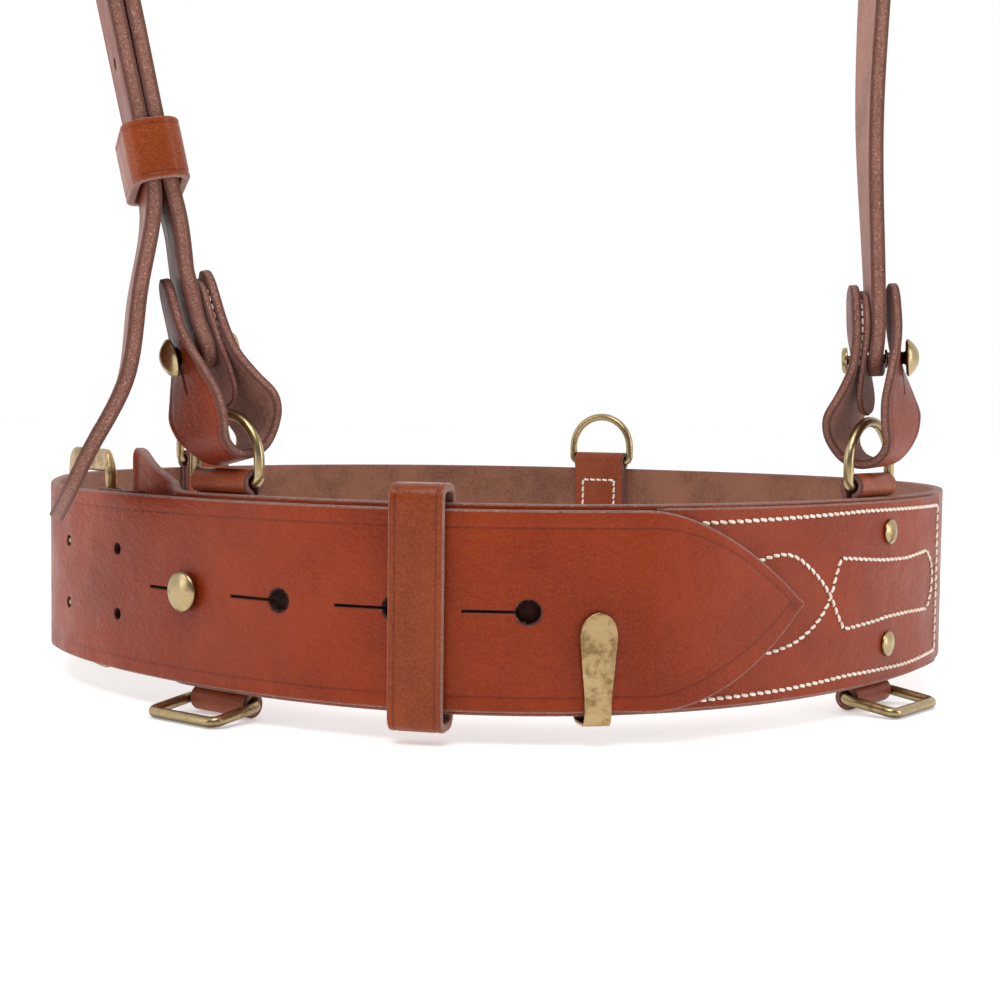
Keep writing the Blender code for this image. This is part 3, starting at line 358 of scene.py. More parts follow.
# Very dark leather for hole walls and rims, burnished and darkened further as painted shade; on the discs
# in the button holes it is painted shadow.
BURNISH_AND_SHADE = flesh_leather("hole_burnish_and_shade", *tints((62, 26, 20), (38, 15, 11), (88, 42, 30)))
BELT_SIDES, STRAP_SIDES = (FLESH, BELT_EDGE), (STRAP_FLESH, STRAP_EDGE)
FINISHES = {}
for part, colours, sides, gloss in (
        ("belt", ((143, 50, 8), (118, 36, 5), (160, 64, 18)), BELT_SIDES, ()),
        ("strap", ((135, 59, 35), (103, 40, 23), (154, 76, 48)), STRAP_SIDES, ()),
        ("chape", ((130, 50, 24), (94, 32, 16), (148, 66, 38)), STRAP_SIDES, ()),
        ("keeper", ((142, 62, 22), (118, 45, 13), (162, 82, 40)), BELT_SIDES, (0.28, 0.42, 0.12)),
        ("tab", ((148, 72, 40), (124, 52, 26), (166, 90, 56)), STRAP_SIDES, ())):
    FINISHES[part + "_leather"] = (grain_leather(part + "_grain", *tints(*colours), *gloss), *sides)
for part, colours, looks in (
        ("antique_brass", ((172, 152, 112), (84, 64, 42), (210, 194, 156)), (0.36, 0.30, 0.48)),
        ("pale_brass", ((182, 155, 112), (142, 114, 72), (200, 176, 134)), (0.44, 0.34, 0.50))):
    FINISHES[part] = (brass(part, *tints(*colours), *looks),) * 3
THREAD_FINISHES = [linen_thread(), awl_hole_painted_shade()]


# ---- The loop
def loop_point(angle):
    """Middle of the belt's inner layer in the direction of angle, seen from above."""
    waves = sum(share * math.cos(lobes * (angle - math.radians(turn)))
                for lobes, share, turn in LOOP_WAVES)
    radius = LOOP_RADIUS * (1 + waves)
    return radius * math.cos(angle), radius * math.sin(angle)


LOOP_ANGLES = -math.pi / 2 - np.linspace(0, 2 * math.pi, 3601)
LOOP_POINTS = np.array([loop_point(angle) for angle in LOOP_ANGLES])
LOOP_LENGTHS = np.concatenate([[0], np.cumsum(np.linalg.norm(np.diff(LOOP_POINTS, axis=0), axis=1))])
GIRTH = float(LOOP_LENGTHS[-1])


def belt_axes(u):
    """Point, direction of growing u and outward direction on the loop, all level."""
    length = (u - FRONT_U) % GIRTH
    angle = float(np.interp(length, LOOP_LENGTHS, LOOP_ANGLES))
    ahead, behind = Vector(loop_point(angle - 0.001)), Vector(loop_point(angle + 0.001))
    along = (ahead - behind).normalized()
    point = Vector(loop_point(angle))
    return point.to_3d(), along.to_3d(), Vector((-along.y, along.x, 0))


def belt_place(u, z, w):
    point, _, out = belt_axes(u)
    return point + out * w + Vector((0, 0, z))


def ease(value, start, end):
    """0 before start, 1 after end, and a smooth rise between."""
    share = min(max((value - start) / (end - start), 0.0), 1.0)
    return share * share * (3 - 2 * share)


# ---- Outlines and paths
def circle(s, c, radius, steps):
    return [(s + radius * math.cos(turn), c + radius * math.sin(turn)) for turn in spaced_turns(steps)]


def arc(s, c, radius, degrees):
    """Points of a circle in the directions given."""
    return [(s + radius * cosd(turn), c + radius * sind(turn)) for turn in degrees]


def slot(s, half_length, half_width=0.0020, c=0.0):
    return [(s - half_length, c - half_width), (s + half_length, c - half_width),
            (s + half_length, c + half_width), (s - half_length, c + half_width)]


def keyhole(s, c, radius, reach, slit):
    """A round hole with a thin slit that runs from it to s + reach."""
    start = math.asin(slit / radius) * math.copysign(1, reach)
    turn = 2 * (math.pi - abs(start)) / KEYHOLE_STEPS
    first = 0.0 if reach > 0 else math.pi
    angles = [first + abs(start) + turn * i for i in range(KEYHOLE_STEPS + 1)]
    ring = [(s + radius * math.cos(a), c + radius * math.sin(a)) for a in angles]
    side = math.copysign(slit, ring[-1][1] - c)
    return ring + [(s + reach, c + side), (s + reach, c - side)]


def smooth_curve(points, steps):
    """Points along a smooth curve through the given ones, which may be unevenly spaced."""
    points = [Vector(p) for p in points]
    gaps = [(b - a).length for a, b in zip(points, points[1:])]
    slopes = [(points[1] - points[0]) / gaps[0]]
    for i in range(1, len(points) - 1):
        before = (points[i] - points[i - 1]) / gaps[i - 1]
        after = (points[i + 1] - points[i]) / gaps[i]
        slopes.append((before * gaps[i] + after * gaps[i - 1]) / (gaps[i] + gaps[i - 1]))
    slopes.append((points[-1] - points[-2]) / gaps[-1])
    result = []
    for i, gap in enumerate(gaps):
        for k in range(steps):
            t = k / steps
            place = points[i] * (2 * t ** 3 - 3 * t ** 2 + 1)
            place = place + slopes[i] * gap * (t ** 3 - 2 * t ** 2 + t)
            place = place + points[i + 1] * (3 * t ** 2 - 2 * t ** 3)
            result.append(place + slopes[i + 1] * gap * (t ** 3 - t ** 2))
    return result + [points[-1]]


def flat_curve(points, steps=5):
    return [tuple(p) for p in smooth_curve(points, steps)]


def rounded_loop(half_a, half_b, radius, steps):
    """Corner-rounded rectangle about (0, 0), counter-clockwise."""
    result = []
    for quarter, (sign_a, sign_b) in enumerate(((1, 1), (-1, 1), (-1, -1), (1, -1))):
        for i in range(steps + 1):
            angle = math.pi / 2 * (quarter + i / steps)
            result.append((sign_a * (half_a - radius) + radius * math.cos(angle),
                           sign_b * (half_b - radius) + radius * math.sin(angle)))
    return result


class Ribbon:
    """A bent strip's middle line, with the direction of its width at each point."""

    def __init__(self, points, widths):
        self.points = np.array([tuple(p) for p in points])
        steps = np.linalg.norm(np.diff(self.points, axis=0), axis=1)
        self.lengths = np.concatenate([[0], np.cumsum(steps)])
        self.length = float(self.lengths[-1])
        along = directions([Vector(p) for p in self.points], False)
        self.across = np.array([tuple((w - a * w.dot(a)).normalized()) for w, a in zip(widths, along)])
        self.normal = np.array([tuple(a.cross(Vector(w)).normalized())
                                for a, w in zip(along, self.across)])

    def folds(self):
        """The lengths at which the strip bends."""
        return [float(s) for s in self.lengths[1:-1]]

    def at(self, index):
        """The length at one of the strip's points."""
        return float(self.lengths[index])

    def read(self, table, s):
        return Vector([np.interp(s, self.lengths, table[:, k]) for k in range(3)])

    def place(self, s, c, w):
        return (self.read(self.points, s) + self.read(self.across, s).normalized() * c
                + self.read(self.normal, s).normalized() * w)


def strip_outline(profile, steps=5):
    """Outline of a strip from (s, half width) points; both ends close on the middle line."""
    upper = flat_curve(profile, steps)
    lower = [(s, -c) for s, c in reversed(upper) if abs(c) > 1e-6]
    return upper + lower


def even_lines(start, end, step):
    count = max(1, round((end - start) / step))
    return [start + (end - start) * i / count for i in range(1, count)]


# ---- Pieces
def link_new(name, data):
    """A new object in the scene."""
    made = bpy.data.objects.new(name, data)
    bpy.context.scene.collection.objects.link(made)
    return made


def add_piece(name, node, verts, faces, materials, which=None, attributes=None, replaces=True):
    """A piece that rides on its CAD node's body, and stands for that node where it replaces it."""
    mesh = bpy.data.meshes.new(name)
    mesh.from_pydata(verts, [], faces)
    for material in materials:
        mesh.materials.append(material)
    if which is not None:
        mesh.polygons.foreach_set("material_index", which)
    for key, values in (attributes or {}).items():
        mesh.attributes.new(key, "FLOAT", "POINT").data.foreach_set("value", values)
    shape = bmesh.new()
    shape.from_mesh(mesh)
    bmesh.ops.recalc_face_normals(shape, faces=shape.faces)
    shape.to_mesh(mesh)
    shape.free()
    mesh.shade_smooth()
    piece = link_new(name, mesh)
    if replaces:
        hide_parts(node)
    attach(piece, BODY[node])
    return piece


def even_normals(piece):
    """Large faces keep their own normal, so that roundings beside them don't shade them."""
    made = piece.modifiers.new("even_normals", "WEIGHTED_NORMAL")
    made.mode = "FACE_AREA"
    made.weight = 60


def ring_area(ring):
    return sum(a[0] * b[1] - b[0] * a[1] for a, b in zip(ring, ring[1:] + ring[:1])) / 2


def offset_ring(ring, distance):
    """A closed ring moved to the left of its own direction."""
    moved = []
    for i, (x, y) in enumerate(ring):
        before, after = ring[i - 1], ring[(i + 1) % len(ring)]
        first = Vector((x - before[0], y - before[1])).normalized()
        second = Vector((after[0] - x, after[1] - y)).normalized()
        side = Vector((-first.y - second.y, first.x + second.x))
        reach = 2 / max(side.length_squared, 1.0)
        moved.append((x + side.x * reach * distance, y + side.y * reach * distance))
    return moved


def inside(rings, points):
    """Even-odd test of many points against all rings together, so a hole counts as outside."""
    crossings = np.zeros(len(points), int)
    for ring in rings:
        for (ax, ay), (bx, by) in zip(ring, ring[1:] + ring[:1]):
            if ay == by:
                continue
            spans = (ay > points[:, 1]) != (by > points[:, 1])
            crossings += spans & (points[:, 0] < ax + (points[:, 1] - ay) * (bx - ax) / (by - ay))
    return crossings % 2 == 1


def distance_to(lines, points):
    """Least distance of each point to any of the given open polylines, or 1 m."""
    least = np.ones(len(points))
    for line in lines:
        for a, b in zip(line, line[1:]):
            a, run = np.array(a), np.array(b) - np.array(a)
            share = np.clip((points - a) @ run / max(run @ run, 1e-16), 0, 1)
            least = np.minimum(least, np.linalg.norm(points - a - share[:, None] * run, axis=1))
    return least


def flat_triangles(rings, chains, lines, reach):
    """Triangles inside the first rings, cut along all rings, open chains and lines s = constant."""
    points, edges = [], []
    for ring in rings:
        first = len(points)
        points += [Vector(p) * 1000 for p in ring]
        edges += [(first + i, first + (i + 1) % len(ring)) for i in range(len(ring))]
    for chain in chains:
        edges += [(len(points) + i, len(points) + i + 1) for i in range(len(chain) - 1)]
        points += [Vector(p) * 1000 for p in chain]
    for s in lines:
        edges.append((len(points), len(points) + 1))
        points += [Vector((s * 1000, -reach * 1000)), Vector((s * 1000, reach * 1000))]
    flat, _, faces, *_ = geometry.delaunay_2d_cdt(points, edges, [], 0, 1e-4)
    return np.array([tuple(p) for p in flat]) / 1000, np.array([tuple(f) for f in faces])


def make_sheet(node, outline, place, thickness, finish, holes, lines, creases=(),
               round_off=EDGE_ROUND, name=None):
    """A flat cut piece with rounded edges and creases, bent by place(s, c, w)."""
    outline = list(outline) if ring_area(outline) > 0 else list(reversed(outline))
    holes = [list(hole) if ring_area(hole) < 0 else list(reversed(hole)) for hole in holes]
    cut = [outline, *holes]
    rings = list(cut)
    for share in (1 - cosd(45), 1.0):
        rings += [offset_ring(ring, round_off * share) for ring in cut]
    chains = []
    for crease in creases:
        chains.append(crease)
        chains += [offset_ring(crease, side)[1:-1] for side in (GROOVE_HALF, -GROOVE_HALF)]
    reach = max(abs(c) for _, c in outline) + 0.001
    flat, faces = flat_triangles(rings, chains, lines, reach)
    corners = flat[faces]
    middles = corners.mean(axis=1)
    sides = corners[:, 1:] - corners[:, :1]
    area = np.abs(sides[:, 0, 0] * sides[:, 1, 1] - sides[:, 0, 1] * sides[:, 1, 0])
    faces = faces[(area > 1e-13) & inside(cut, middles)]
    used = np.unique(faces)
    flat = flat[used]
    faces = np.searchsorted(used, faces)
    closed = [ring + ring[:1] for ring in cut]
    rim = distance_to(closed, flat)
    drop = round_off - np.sqrt(np.clip(round_off ** 2 - np.clip(round_off - rim, 0, None) ** 2, 0, None))
    groove = np.clip(1 - distance_to(creases, flat) / GROOVE_HALF, 0, 1)
    upper = thickness / 2 - drop - GROOVE * groove * np.clip(rim / round_off, 0, 1)
    lower = drop - thickness / 2
    count = len(flat)
    verts = [place(s, c, w) for heights in (upper, lower) for (s, c), w in zip(flat, heights)]
    rim_face = rim[faces].mean(axis=1) < round_off * CUT_REACH
    solid = [tuple(f) for f in faces.tolist()]
    solid += [tuple(i + count for i in reversed(f)) for f in faces.tolist()]
    which = [CUT if edge else face for face in (GRAIN, INNER) for edge in rim_face]
    # Faces at a hole's rim and on its walls take the dark leather of burnish and painted shade.
    cut_out = distance_to(closed[1:], flat)
    for i, close in enumerate(cut_out[faces].mean(axis=1)):
        if close < round_off * CUT_REACH:
            which[i] = BURNT_AND_SHADED if close < round_off * DARK_RIM_REACH else GRAIN
    uses = {}
    for face in faces.tolist():
        for a, b in zip(face, face[1:] + face[:1]):
            uses.setdefault((min(a, b), max(a, b)), []).append((a, b))
    for pairs in uses.values():
        if len(pairs) == 1:
            a, b = pairs[0]
            solid.append((b, a, a + count, b + count))
            which.append(BURNT_AND_SHADED if max(cut_out[a], cut_out[b]) < 1e-6 else CUT)
    # The crease mark is what the grain finish darkens as painted shade in the grooves.
    marks = {"crease": list(groove) + [0.0] * count, "lip": [1.0] * count + [-1.0] * count}
    materials = (*FINISHES[finish], BURNISH_AND_SHADE)
    piece = add_piece(name or node + "_leather", node, verts, solid, materials, which, marks)
    even_normals(piece)
    return piece


def sweep(name, node, sections, finish, closed, which=None, attributes=None):
    """Skin over rings of points, capped where the sweep is open."""
    verts = [p for ring in sections for p in ring]
    sides, count = len(sections[0]), len(sections)
    faces, kinds = [], []
    for i in range(count if closed else count - 1):
        here, there = i * sides, (i + 1) % count * sides
        for k in range(sides):
            faces.append((here + k, here + (k + 1) % sides, there + (k + 1) % sides, there + k))
            kinds.append(which[k] if which else GRAIN)
    if not closed:
        faces += [tuple(range(sides)), tuple(range(len(verts) - sides, len(verts)))]
        kinds += [GRAIN, GRAIN]
    piece = add_piece(name, node, verts, faces, FINISHES[finish], kinds, attributes)
    return piece


def directions(points, closed):
    """Unit direction of travel at each point of a path."""
    count = len(points)
    result = []
    for i in range(count):
        before = points[(i - 1) % count] if closed or i else points[0]
        after = points[(i + 1) % count] if closed or i < count - 1 else points[-1]
        result.append((after - before).normalized())
    return result


def make_wire(node, points, across, finish="antique_brass", closed=True, radii=(WIRE, WIRE),
              sides=WIRE_SIDES, flat_power=1.0):
    """A wire along a flat path whose plane's normal is across; radii are for all or each point."""
    if not isinstance(radii, list):
        radii = [radii] * len(points)
    sections = []
    for point, along, (wide, deep) in zip(points, directions(points, closed), radii):
        side = along.cross(across).normalized()
        ring = []
        for angle in spaced_turns(sides, 0.5):
            x, y = math.cos(angle), math.sin(angle)
            x, y = (math.copysign(abs(v) ** flat_power, v) for v in (x, y))
            ring.append(point + side * wide * x + across * deep * y)
        sections.append(ring)
    if not closed:
        for end, inner in ((0, 1), (-1, -2)):
            tip = points[end] + (points[end] - points[inner]).normalized() * radii[end][1] * WIRE_END[0]
            ring = [tip + (p - points[end]) * WIRE_END[1] for p in sections[end]]
            sections = [ring, *sections] if end == 0 else [*sections, ring]
    return sweep(node + "_metal", node, sections, finish, closed)


def band_section(half, thickness, crease_inset):
    """Cross-section of a flat loop, as (across, out), with a crease groove near both edges."""
    r = EDGE_ROUND
    top = thickness / 2
    corner = [(half - r + r * sind(a), top - r + r * cosd(a)) for a in (0, 30, 60, 90)]
    grooves = [[(at - GROOVE_HALF, top), (at, top - GROOVE), (at + GROOVE_HALF, top)]
               for at in (-half + crease_inset, half - crease_inset)]
    lower = [(half - r + r * cosd(a), -top + r - r * sind(a)) for a in (0, 30, 60, 90)]
    return [*((-x, y) for x, y in reversed(corner)), *grooves[0], (0.0, top), *grooves[1], *corner,
            *lower, *((-x, y) for x, y in reversed(lower))]


def make_band(node, points, across, half, thickness, crease_inset=0.0020):
    """A closed loop of keeper leather, its width along across, creased along both edges."""
    section = band_section(half, thickness, crease_inset)
    which = []
    for (x0, y0), (x1, y1) in zip(section, section[1:] + section[:1]):
        flat = abs(x1 - x0) > abs(y1 - y0) * 1.2
        which.append((GRAIN if y0 + y1 > 0 else INNER) if flat else CUT)
    # creased marks the groove vertices, which the grain finish darkens as painted shade.
    creased = [abs(y - (thickness / 2 - GROOVE)) < 1e-6 and abs(x) < half - 0.001 for x, y in section]
    marks = {"crease": [float(crease) for crease in creased] * len(points),
             "lip": [y / (thickness / 2) for _, y in section] * len(points)}
    rings = []
    for point, along in zip(points, directions(points, True)):
        side = along.cross(across).normalized()
        rings.append([point + across * x + side * y for x, y in section])
    piece = sweep(node + "_leather", node, rings, "keeper_leather", True, which, marks)
    even_normals(piece)
    return piece


def make_turned(node, profile, base, axis, sides=TURN_SIDES, ring=False):
    """A turned piece: profile is (height, radius) along axis, and closed where it is a ring."""
    side = axis.orthogonal().normalized()
    other = axis.cross(side)
    spokes = [side * math.cos(turn) + other * math.sin(turn) for turn in spaced_turns(sides)]
    sections = [[base + axis * height + spoke * radius for height, radius in profile]
                for spoke in spokes]
    if not ring:
        sections = [list(section) for section in zip(*sections)]
    piece = sweep(node + "_metal", node, sections, "antique_brass", ring)
    piece.data.set_sharp_from_angle(angle=math.radians(50))


def resample(chain, pitch):
    """Points at even spacing, as near to pitch as fits, along an open polyline."""
    points = np.array(chain, float)
    lengths = np.concatenate([[0], np.cumsum(np.linalg.norm(np.diff(points, axis=0), axis=1))])
    count = max(1, round(lengths[-1] / pitch))
    at = np.linspace(0, lengths[-1], count + 1)
    return np.stack([np.interp(at, lengths, points[:, k]) for k in range(2)], axis=1)


def turned_by(along, degrees):
    """A flat direction turned by degrees, and the one at right angles to it."""
    cos, sin = cosd(degrees), sind(degrees)
    along = np.array([along[0] * cos - along[1] * sin, along[0] * sin + along[1] * cos])
    return along, np.array([-along[1], along[0]])


def join_rings(faces, first, rings, sides):
    """Faces of a capped skin over rings of vertices that start at first."""
    for a in range(first, first + (rings - 1) * sides, sides):
        for k in range(sides):
            b = a + (k + 1) % sides
            faces.append((a + k, b, b + sides, a + k + sides))
    last = first + (rings - 1) * sides
    faces += [tuple(reversed(range(first, first + sides))), tuple(range(last, last + sides))]


# A stitch's rings of vertices: place along it, and width and height as shares of THREAD
STITCH = ((-1.0, 0.45, -0.75), (-0.88, 0.80, -0.15), (-0.55, 1.0, 0.35), (0, 1.05, 0.5),
          (0.55, 1.0, 0.35), (0.88, 0.80, -0.15), (1.0, 0.45, -0.75))
# Dark lenses of painted shade that stand for the awl holes:
AWL_HOLE = ((-0.0003, 1.0), (0.00004, 1.0), (0.00007, 0.6))  # its rings' heights and sizes
AWL_HALF = (0.00075, 0.00030)  # an awl hole's half length and half width
AWL_TURN = 40                  # degrees between a row of stitches and its awl holes


def make_stitches(name, node, runs, place, face, side=1, pitch=STITCH_PITCH, slant=12.0):
    """Stitches along runs of (s, c) points, on the face at w = face, and between them dark marks of painted
    shade for the holes.
    """
    verts, faces, which = [], [], []
    turns = spaced_turns(THREAD_SIDES)

    def close(first, rings, kind):
        join_rings(faces, first, rings, THREAD_SIDES)
        which.extend([kind] * (len(faces) - len(which)))

    for run in runs:
        points = resample(run, pitch)
        for a, b in zip(points, points[1:]):
            length = float(np.linalg.norm(b - a))
            along, across = turned_by(b - a, slant * side)
            along, across = along / length, across / length
            first = len(verts)
            for t, wide, lift in STITCH:
                centre = (a + b) / 2 + along * t * length * 0.45
                for angle in turns:
                    s, c = centre + across * THREAD * wide * math.cos(angle)
                    height = THREAD * (lift + 0.8 * wide * math.sin(angle))
                    verts.append(place(s, c, side * (face + height)))
            close(first, len(STITCH), 0)
        # Dark lenses, a little proud of the face, as painted shade for the awl holes.
        for point, after in zip(points, [*points[1:], points[-1] * 2 - points[-2]]):
            run_by = (after - point) / max(float(np.linalg.norm(after - point)), 1e-9)
            along, across = turned_by(run_by, AWL_TURN * side)
            first = len(verts)
            for height, size in AWL_HOLE:
                for angle in turns:
                    s, c = (point + along * AWL_HALF[0] * size * math.cos(angle)
                            + across * AWL_HALF[1] * size * math.sin(angle))
                    verts.append(place(s, c, side * (face + height)))
            close(first, len(AWL_HOLE), 1)
    piece = add_piece(name, node, verts, faces, THREAD_FINISHES, which, replaces=False)


def inset_creases(outline, inset, start, end):
    """Two crease chains that follow an even outline at inset from its edges."""
    kept = [(s, half - inset) for s, half in outline if start <= s <= end and half - inset > 0.0005]
    return [kept, [(s, -c) for s, c in kept]]


# ---- Belt
def belt_lift(s):
    """How far out of the loop the one long strap lies, at length s from the first hole."""
    over_panel = LAYER + PANEL_THICKNESS + 0.0002
    outer = over_panel + (LAYER - over_panel) * ease(s, -0.0355, -0.0255)
    settle = ease(s, 0.202, 0.250)
    sink = ease(s, GIRTH + 0.1195, GIRTH + 0.131)
    flare = ease(s, GIRTH + 0.138, GIRTH + INNER_END)
    return outer * (1 - settle) + INNER_END_DEPTH * sink + INNER_END_FLARE * flare


def strap_place(s, c, w):
    rise = INNER_END_RISE * ease(s, GIRTH + 0.116, GIRTH + 0.160)
    return belt_place(s, c + rise, belt_lift(s) + w)


def quarter_arc(s, c, radius):
    """A rounded corner about (s, c), as points from +c towards +s."""
    return [(s + radius * sind(a), c + radius * cosd(a)) for a in range(0, 91, 15)]


def rivet_hole(s, c=0.0, room=CLEARANCE, steps=12):
    return circle(s, c, RIVET_RADIUS + room, steps)


def billet_half(s, side):
    """Half width of the billet above or below its middle, which narrows to a point."""
    share = min(max((POINT_START_U - s) / (POINT_START_U - TIP_U), 0.0), 1.0)
    return BILLET_HALF * (1 - share ** POINT_FULLNESS[side])


def belt_edge(side, end):
    """The belt's upper or lower edge, from the billet's point to the inner end."""
    corner = 0.0035
    edge = [(s, max(billet_half(s, side), 0.0006))
            for s in np.linspace(TIP_U, POINT_START_U, 25).tolist()]
    edge += [(s, BILLET_HALF) for s in even_lines(POINT_START_U, 0.200, 0.02)]
    edge += [(0.200 + 0.005 * i, BILLET_HALF + (BELT_HALF - BILLET_HALF) * ease(i, 0, 10))
             for i in range(11)]
    edge += [(s, BELT_HALF) for s in even_lines(0.252, end - 0.005, 0.02)]
    edge += quarter_arc(end - corner, BELT_HALF - corner, corner)
    return [(s, c * side) for s, c in edge]


def build_belt_strap():
    end = GIRTH + INNER_END
    outline = belt_edge(1, end) + belt_edge(-1, end)[::-1]
    holes = [keyhole(PITCH * i, 0, HOLE_RADIUS, SLIT_LENGTH, 0.00032) for i in range(KEYHOLES)]
    holes += [circle(PITCH * i, side * TONGUE_Z, TONGUE_HOLE_RADIUS, 16)
              for i in range(KEYHOLES, 2 * KEYHOLES) for side in (1, -1)]
    holes += [rivet_hole(GIRTH + u, z) for u in (TAB_RIGHT_U, TAB_LEFT_U)
              for z in RIVET_HEIGHTS.values()]
    holes += [rivet_hole(GIRTH + HOOK_U, HOOK_RIVET_Z), rivet_hole(GIRTH + STUD_U)]
    lines = []
    for start, stop, step in ((TIP_U, -0.037, 0.004), (-0.037, -0.025, 0.001), (-0.025, 0.200, 0.004),
                              (0.200, 0.260, 0.003), (0.260, GIRTH + 0.117, 0.005),
                              (GIRTH + 0.117, GIRTH + 0.133, 0.001), (GIRTH + 0.133, end, 0.002)):
        lines += [start, *even_lines(start, stop, step)]
    lines.remove(TIP_U)
    creases = []
    for side, inset, at_tip in ((1, 0.0050, 0.0036), (-1, 0.0045, 0.0068)):
        chain = []
        for s in np.linspace(TIP_U, 0.196, 150).tolist():
            gap = inset + (at_tip - inset) * ease(-s, 0.030, 0.060)
            if billet_half(s, side) > gap * 0.55 and billet_half(s, -side) > gap * 0.45 + 0.0012:
                chain.append((s, side * (billet_half(s, side) - gap)))
        chain += [(s, side * (BELT_HALF - inset)) for s in np.linspace(0.250, end - 0.003, 200).tolist()]
        creases.append(chain)
    make_sheet("belt_strap", outline, strap_place, LEATHER, "belt_leather", holes, lines, creases)


def build_keyhole_fibres():
    """Leather fibres that stand from the rims of the button holes."""
    rng = random.Random(7)
    face = LAYER + LEATHER / 2
    root = HOLE_RADIUS + 0.00008
    verts, faces = [], []
    for hole in range(KEYHOLES):
        for _ in range(150):
            turn = rng.uniform(0, 2 * math.pi)
            low = 0.6 + 0.4 * max(-math.sin(turn), 0.0)
            if math.cos(turn) > 0.93:
                continue
            reach = rng.uniform(0.0004, 0.0012) * low
            lean = turn + rng.uniform(-0.9, 0.9) + (math.pi if rng.random() < 0.45 else 0)
            width = rng.uniform(0.00004, 0.00008)
            first = len(verts)
            for step, lift in ((0.0, -0.0004), (0.4, 0.0001), (0.8, 0.0002), (1.0, 0.0001)):
                s = PITCH * hole + root * math.cos(turn) + reach * step * math.cos(lean)
                c = root * math.sin(turn) + reach * step * math.sin(lean)
                wide = width * (1.1 - step)
                for side in spaced_turns(3):
                    verts.append(belt_place(s + wide * math.cos(side) * math.sin(lean),
                                            c - wide * math.cos(side) * math.cos(lean),
                                            face + lift * low + wide * math.sin(side)))
            join_rings(faces, first, 4, 3)
    piece = add_piece("keyhole_fibres", "belt_strap", verts, faces, [STRAP_EDGE], replaces=False)


def build_keyhole_painted_shadow():
    """A dark disc of painted shadow at the bottom of each button hole, but for the one with the stud in it.
    """
    for hole in range(KEYHOLES):
        if abs(PITCH * hole - STUD_U) < 0.001:
            continue
        # The disc is painted shadow: dark leather that stands in for the shade deep in the hole.
        ring = circle(PITCH * hole, 0, HOLE_RADIUS + 0.0002, 24)
        verts = [belt_place(s, c, LEATHER / 2 + w) for w in (0.00005, 0.00018) for s, c in ring]
        faces = []
        join_rings(faces, 0, 2, len(ring))
        piece = add_piece(f"keyhole_painted_shadow_{hole + 1}", "belt_strap", verts, faces, [BURNISH_AND_SHADE],
                          replaces=False)


PANEL_FLOOR = LEATHER / 2 + 0.0003
PANEL_HALF = 0.0290


def panel_place(s, c, w):
    return belt_place(s, c, PANEL_FLOOR + PANEL_THICKNESS / 2 + w)


def build_front_panel():
    start, end = PANEL_RANGE
    corner = 0.0012
    outline = [(start + corner, PANEL_HALF), (start, PANEL_HALF - corner), (start, corner - PANEL_HALF),
               (start + corner, -PANEL_HALF), (end, -PANEL_HALF), (end, PANEL_HALF)]
    holes = [rivet_hole(TAB_RIGHT_U, z, steps=16) for z in RIVET_HEIGHTS.values()]
    make_sheet("front_panel", outline, panel_place, PANEL_THICKNESS, "belt_leather", holes,
               even_lines(start, end, 0.004))


def build_panel_stitches():
    """Border, pocket and crossing arms sewn through the panel and the belt."""
    start, end = PANEL_RANGE
    border = [(end - 0.002, 0.0243), (-0.080, 0.0253), (-0.120, 0.0262), (start + 0.0042, 0.0256),
              (start + 0.0042, -0.0243), (-0.150, -0.0252), (-0.110, -0.0245), (-0.080, -0.0258),
              (end - 0.002, -0.0266)]
    arms = [(-0.0640, 0.0112), (-0.0717, 0.0136), (-0.0825, 0.0143), (-0.0915, 0.0095),
            (-0.1008, 0.0010), (-0.1045, -0.0048), (-0.1080, -0.0098)]
    lower_arm = [(-0.0640, -0.0148), (-0.0736, -0.0143), (-0.0863, -0.0114), (-0.0955, -0.0060),
                 (-0.1008, 0.0002), (-0.1035, 0.0070), (-0.1060, 0.0121)]
    pocket_top = [(-0.1068, 0.0121), (-0.1300, 0.0102), (-0.1474, 0.0097), (-0.1670, 0.0110)]
    pocket_end = [(-0.1677, 0.0106), (-0.1735, 0.0052), (-0.1735, -0.0030), (-0.1690, -0.0085)]
    pocket_low = [(-0.1680, -0.0088), (-0.1500, -0.0082), (-0.1334, -0.0083), (-0.1290, -0.0088),
                  (-0.1088, -0.0099)]
    runs = [border[:4], border[3:5], border[4:], flat_curve(arms), flat_curve(lower_arm), pocket_top,
            flat_curve(pocket_end), pocket_low]
    make_stitches("panel_stitches", "front_panel", runs, panel_place, PANEL_THICKNESS / 2)
    inner = [[p for p in resample(run, 0.001) if p[0] < end] for run in runs]
    make_stitches("panel_stitches_inside", "belt_strap", inner, belt_place, LEATHER / 2, side=-1)


def local_frame(u):
    """Axes for a flat fitting at u: it is straight where the belt curves a little."""
    point, along, out = belt_axes(u)
    return lambda a, z, w: point + along * a + out * w + Vector((0, 0, z))


def build_belt_keeper():
    place = local_frame(KEEPER_U)
    _, along, _ = belt_axes(KEEPER_U)
    inner = -LEATHER / 2 - 0.0009
    outer = LAYER + LEATHER / 2 + 0.0009
    middle = (inner + outer) / 2
    half_w = (outer - inner + KEEPER_THICKNESS) / 2
    half_z = BELT_HALF + 0.0026 + KEEPER_THICKNESS / 2
    ring = [place(0, z + 0.0004, middle + w) for w, z in rounded_loop(half_w, half_z, 0.0034, 9)]
    make_band("belt_keeper", ring, along, KEEPER_HALF, KEEPER_THICKNESS)
    face = inner - KEEPER_THICKNESS
    seam = [[(-0.0026, z), (0.0026, z + 0.0012)] for z in np.arange(-0.021, 0.022, 0.0042)]
    make_stitches("belt_keeper_seam", "belt_keeper", seam, place, -face, side=-1, pitch=0.0054, slant=0)


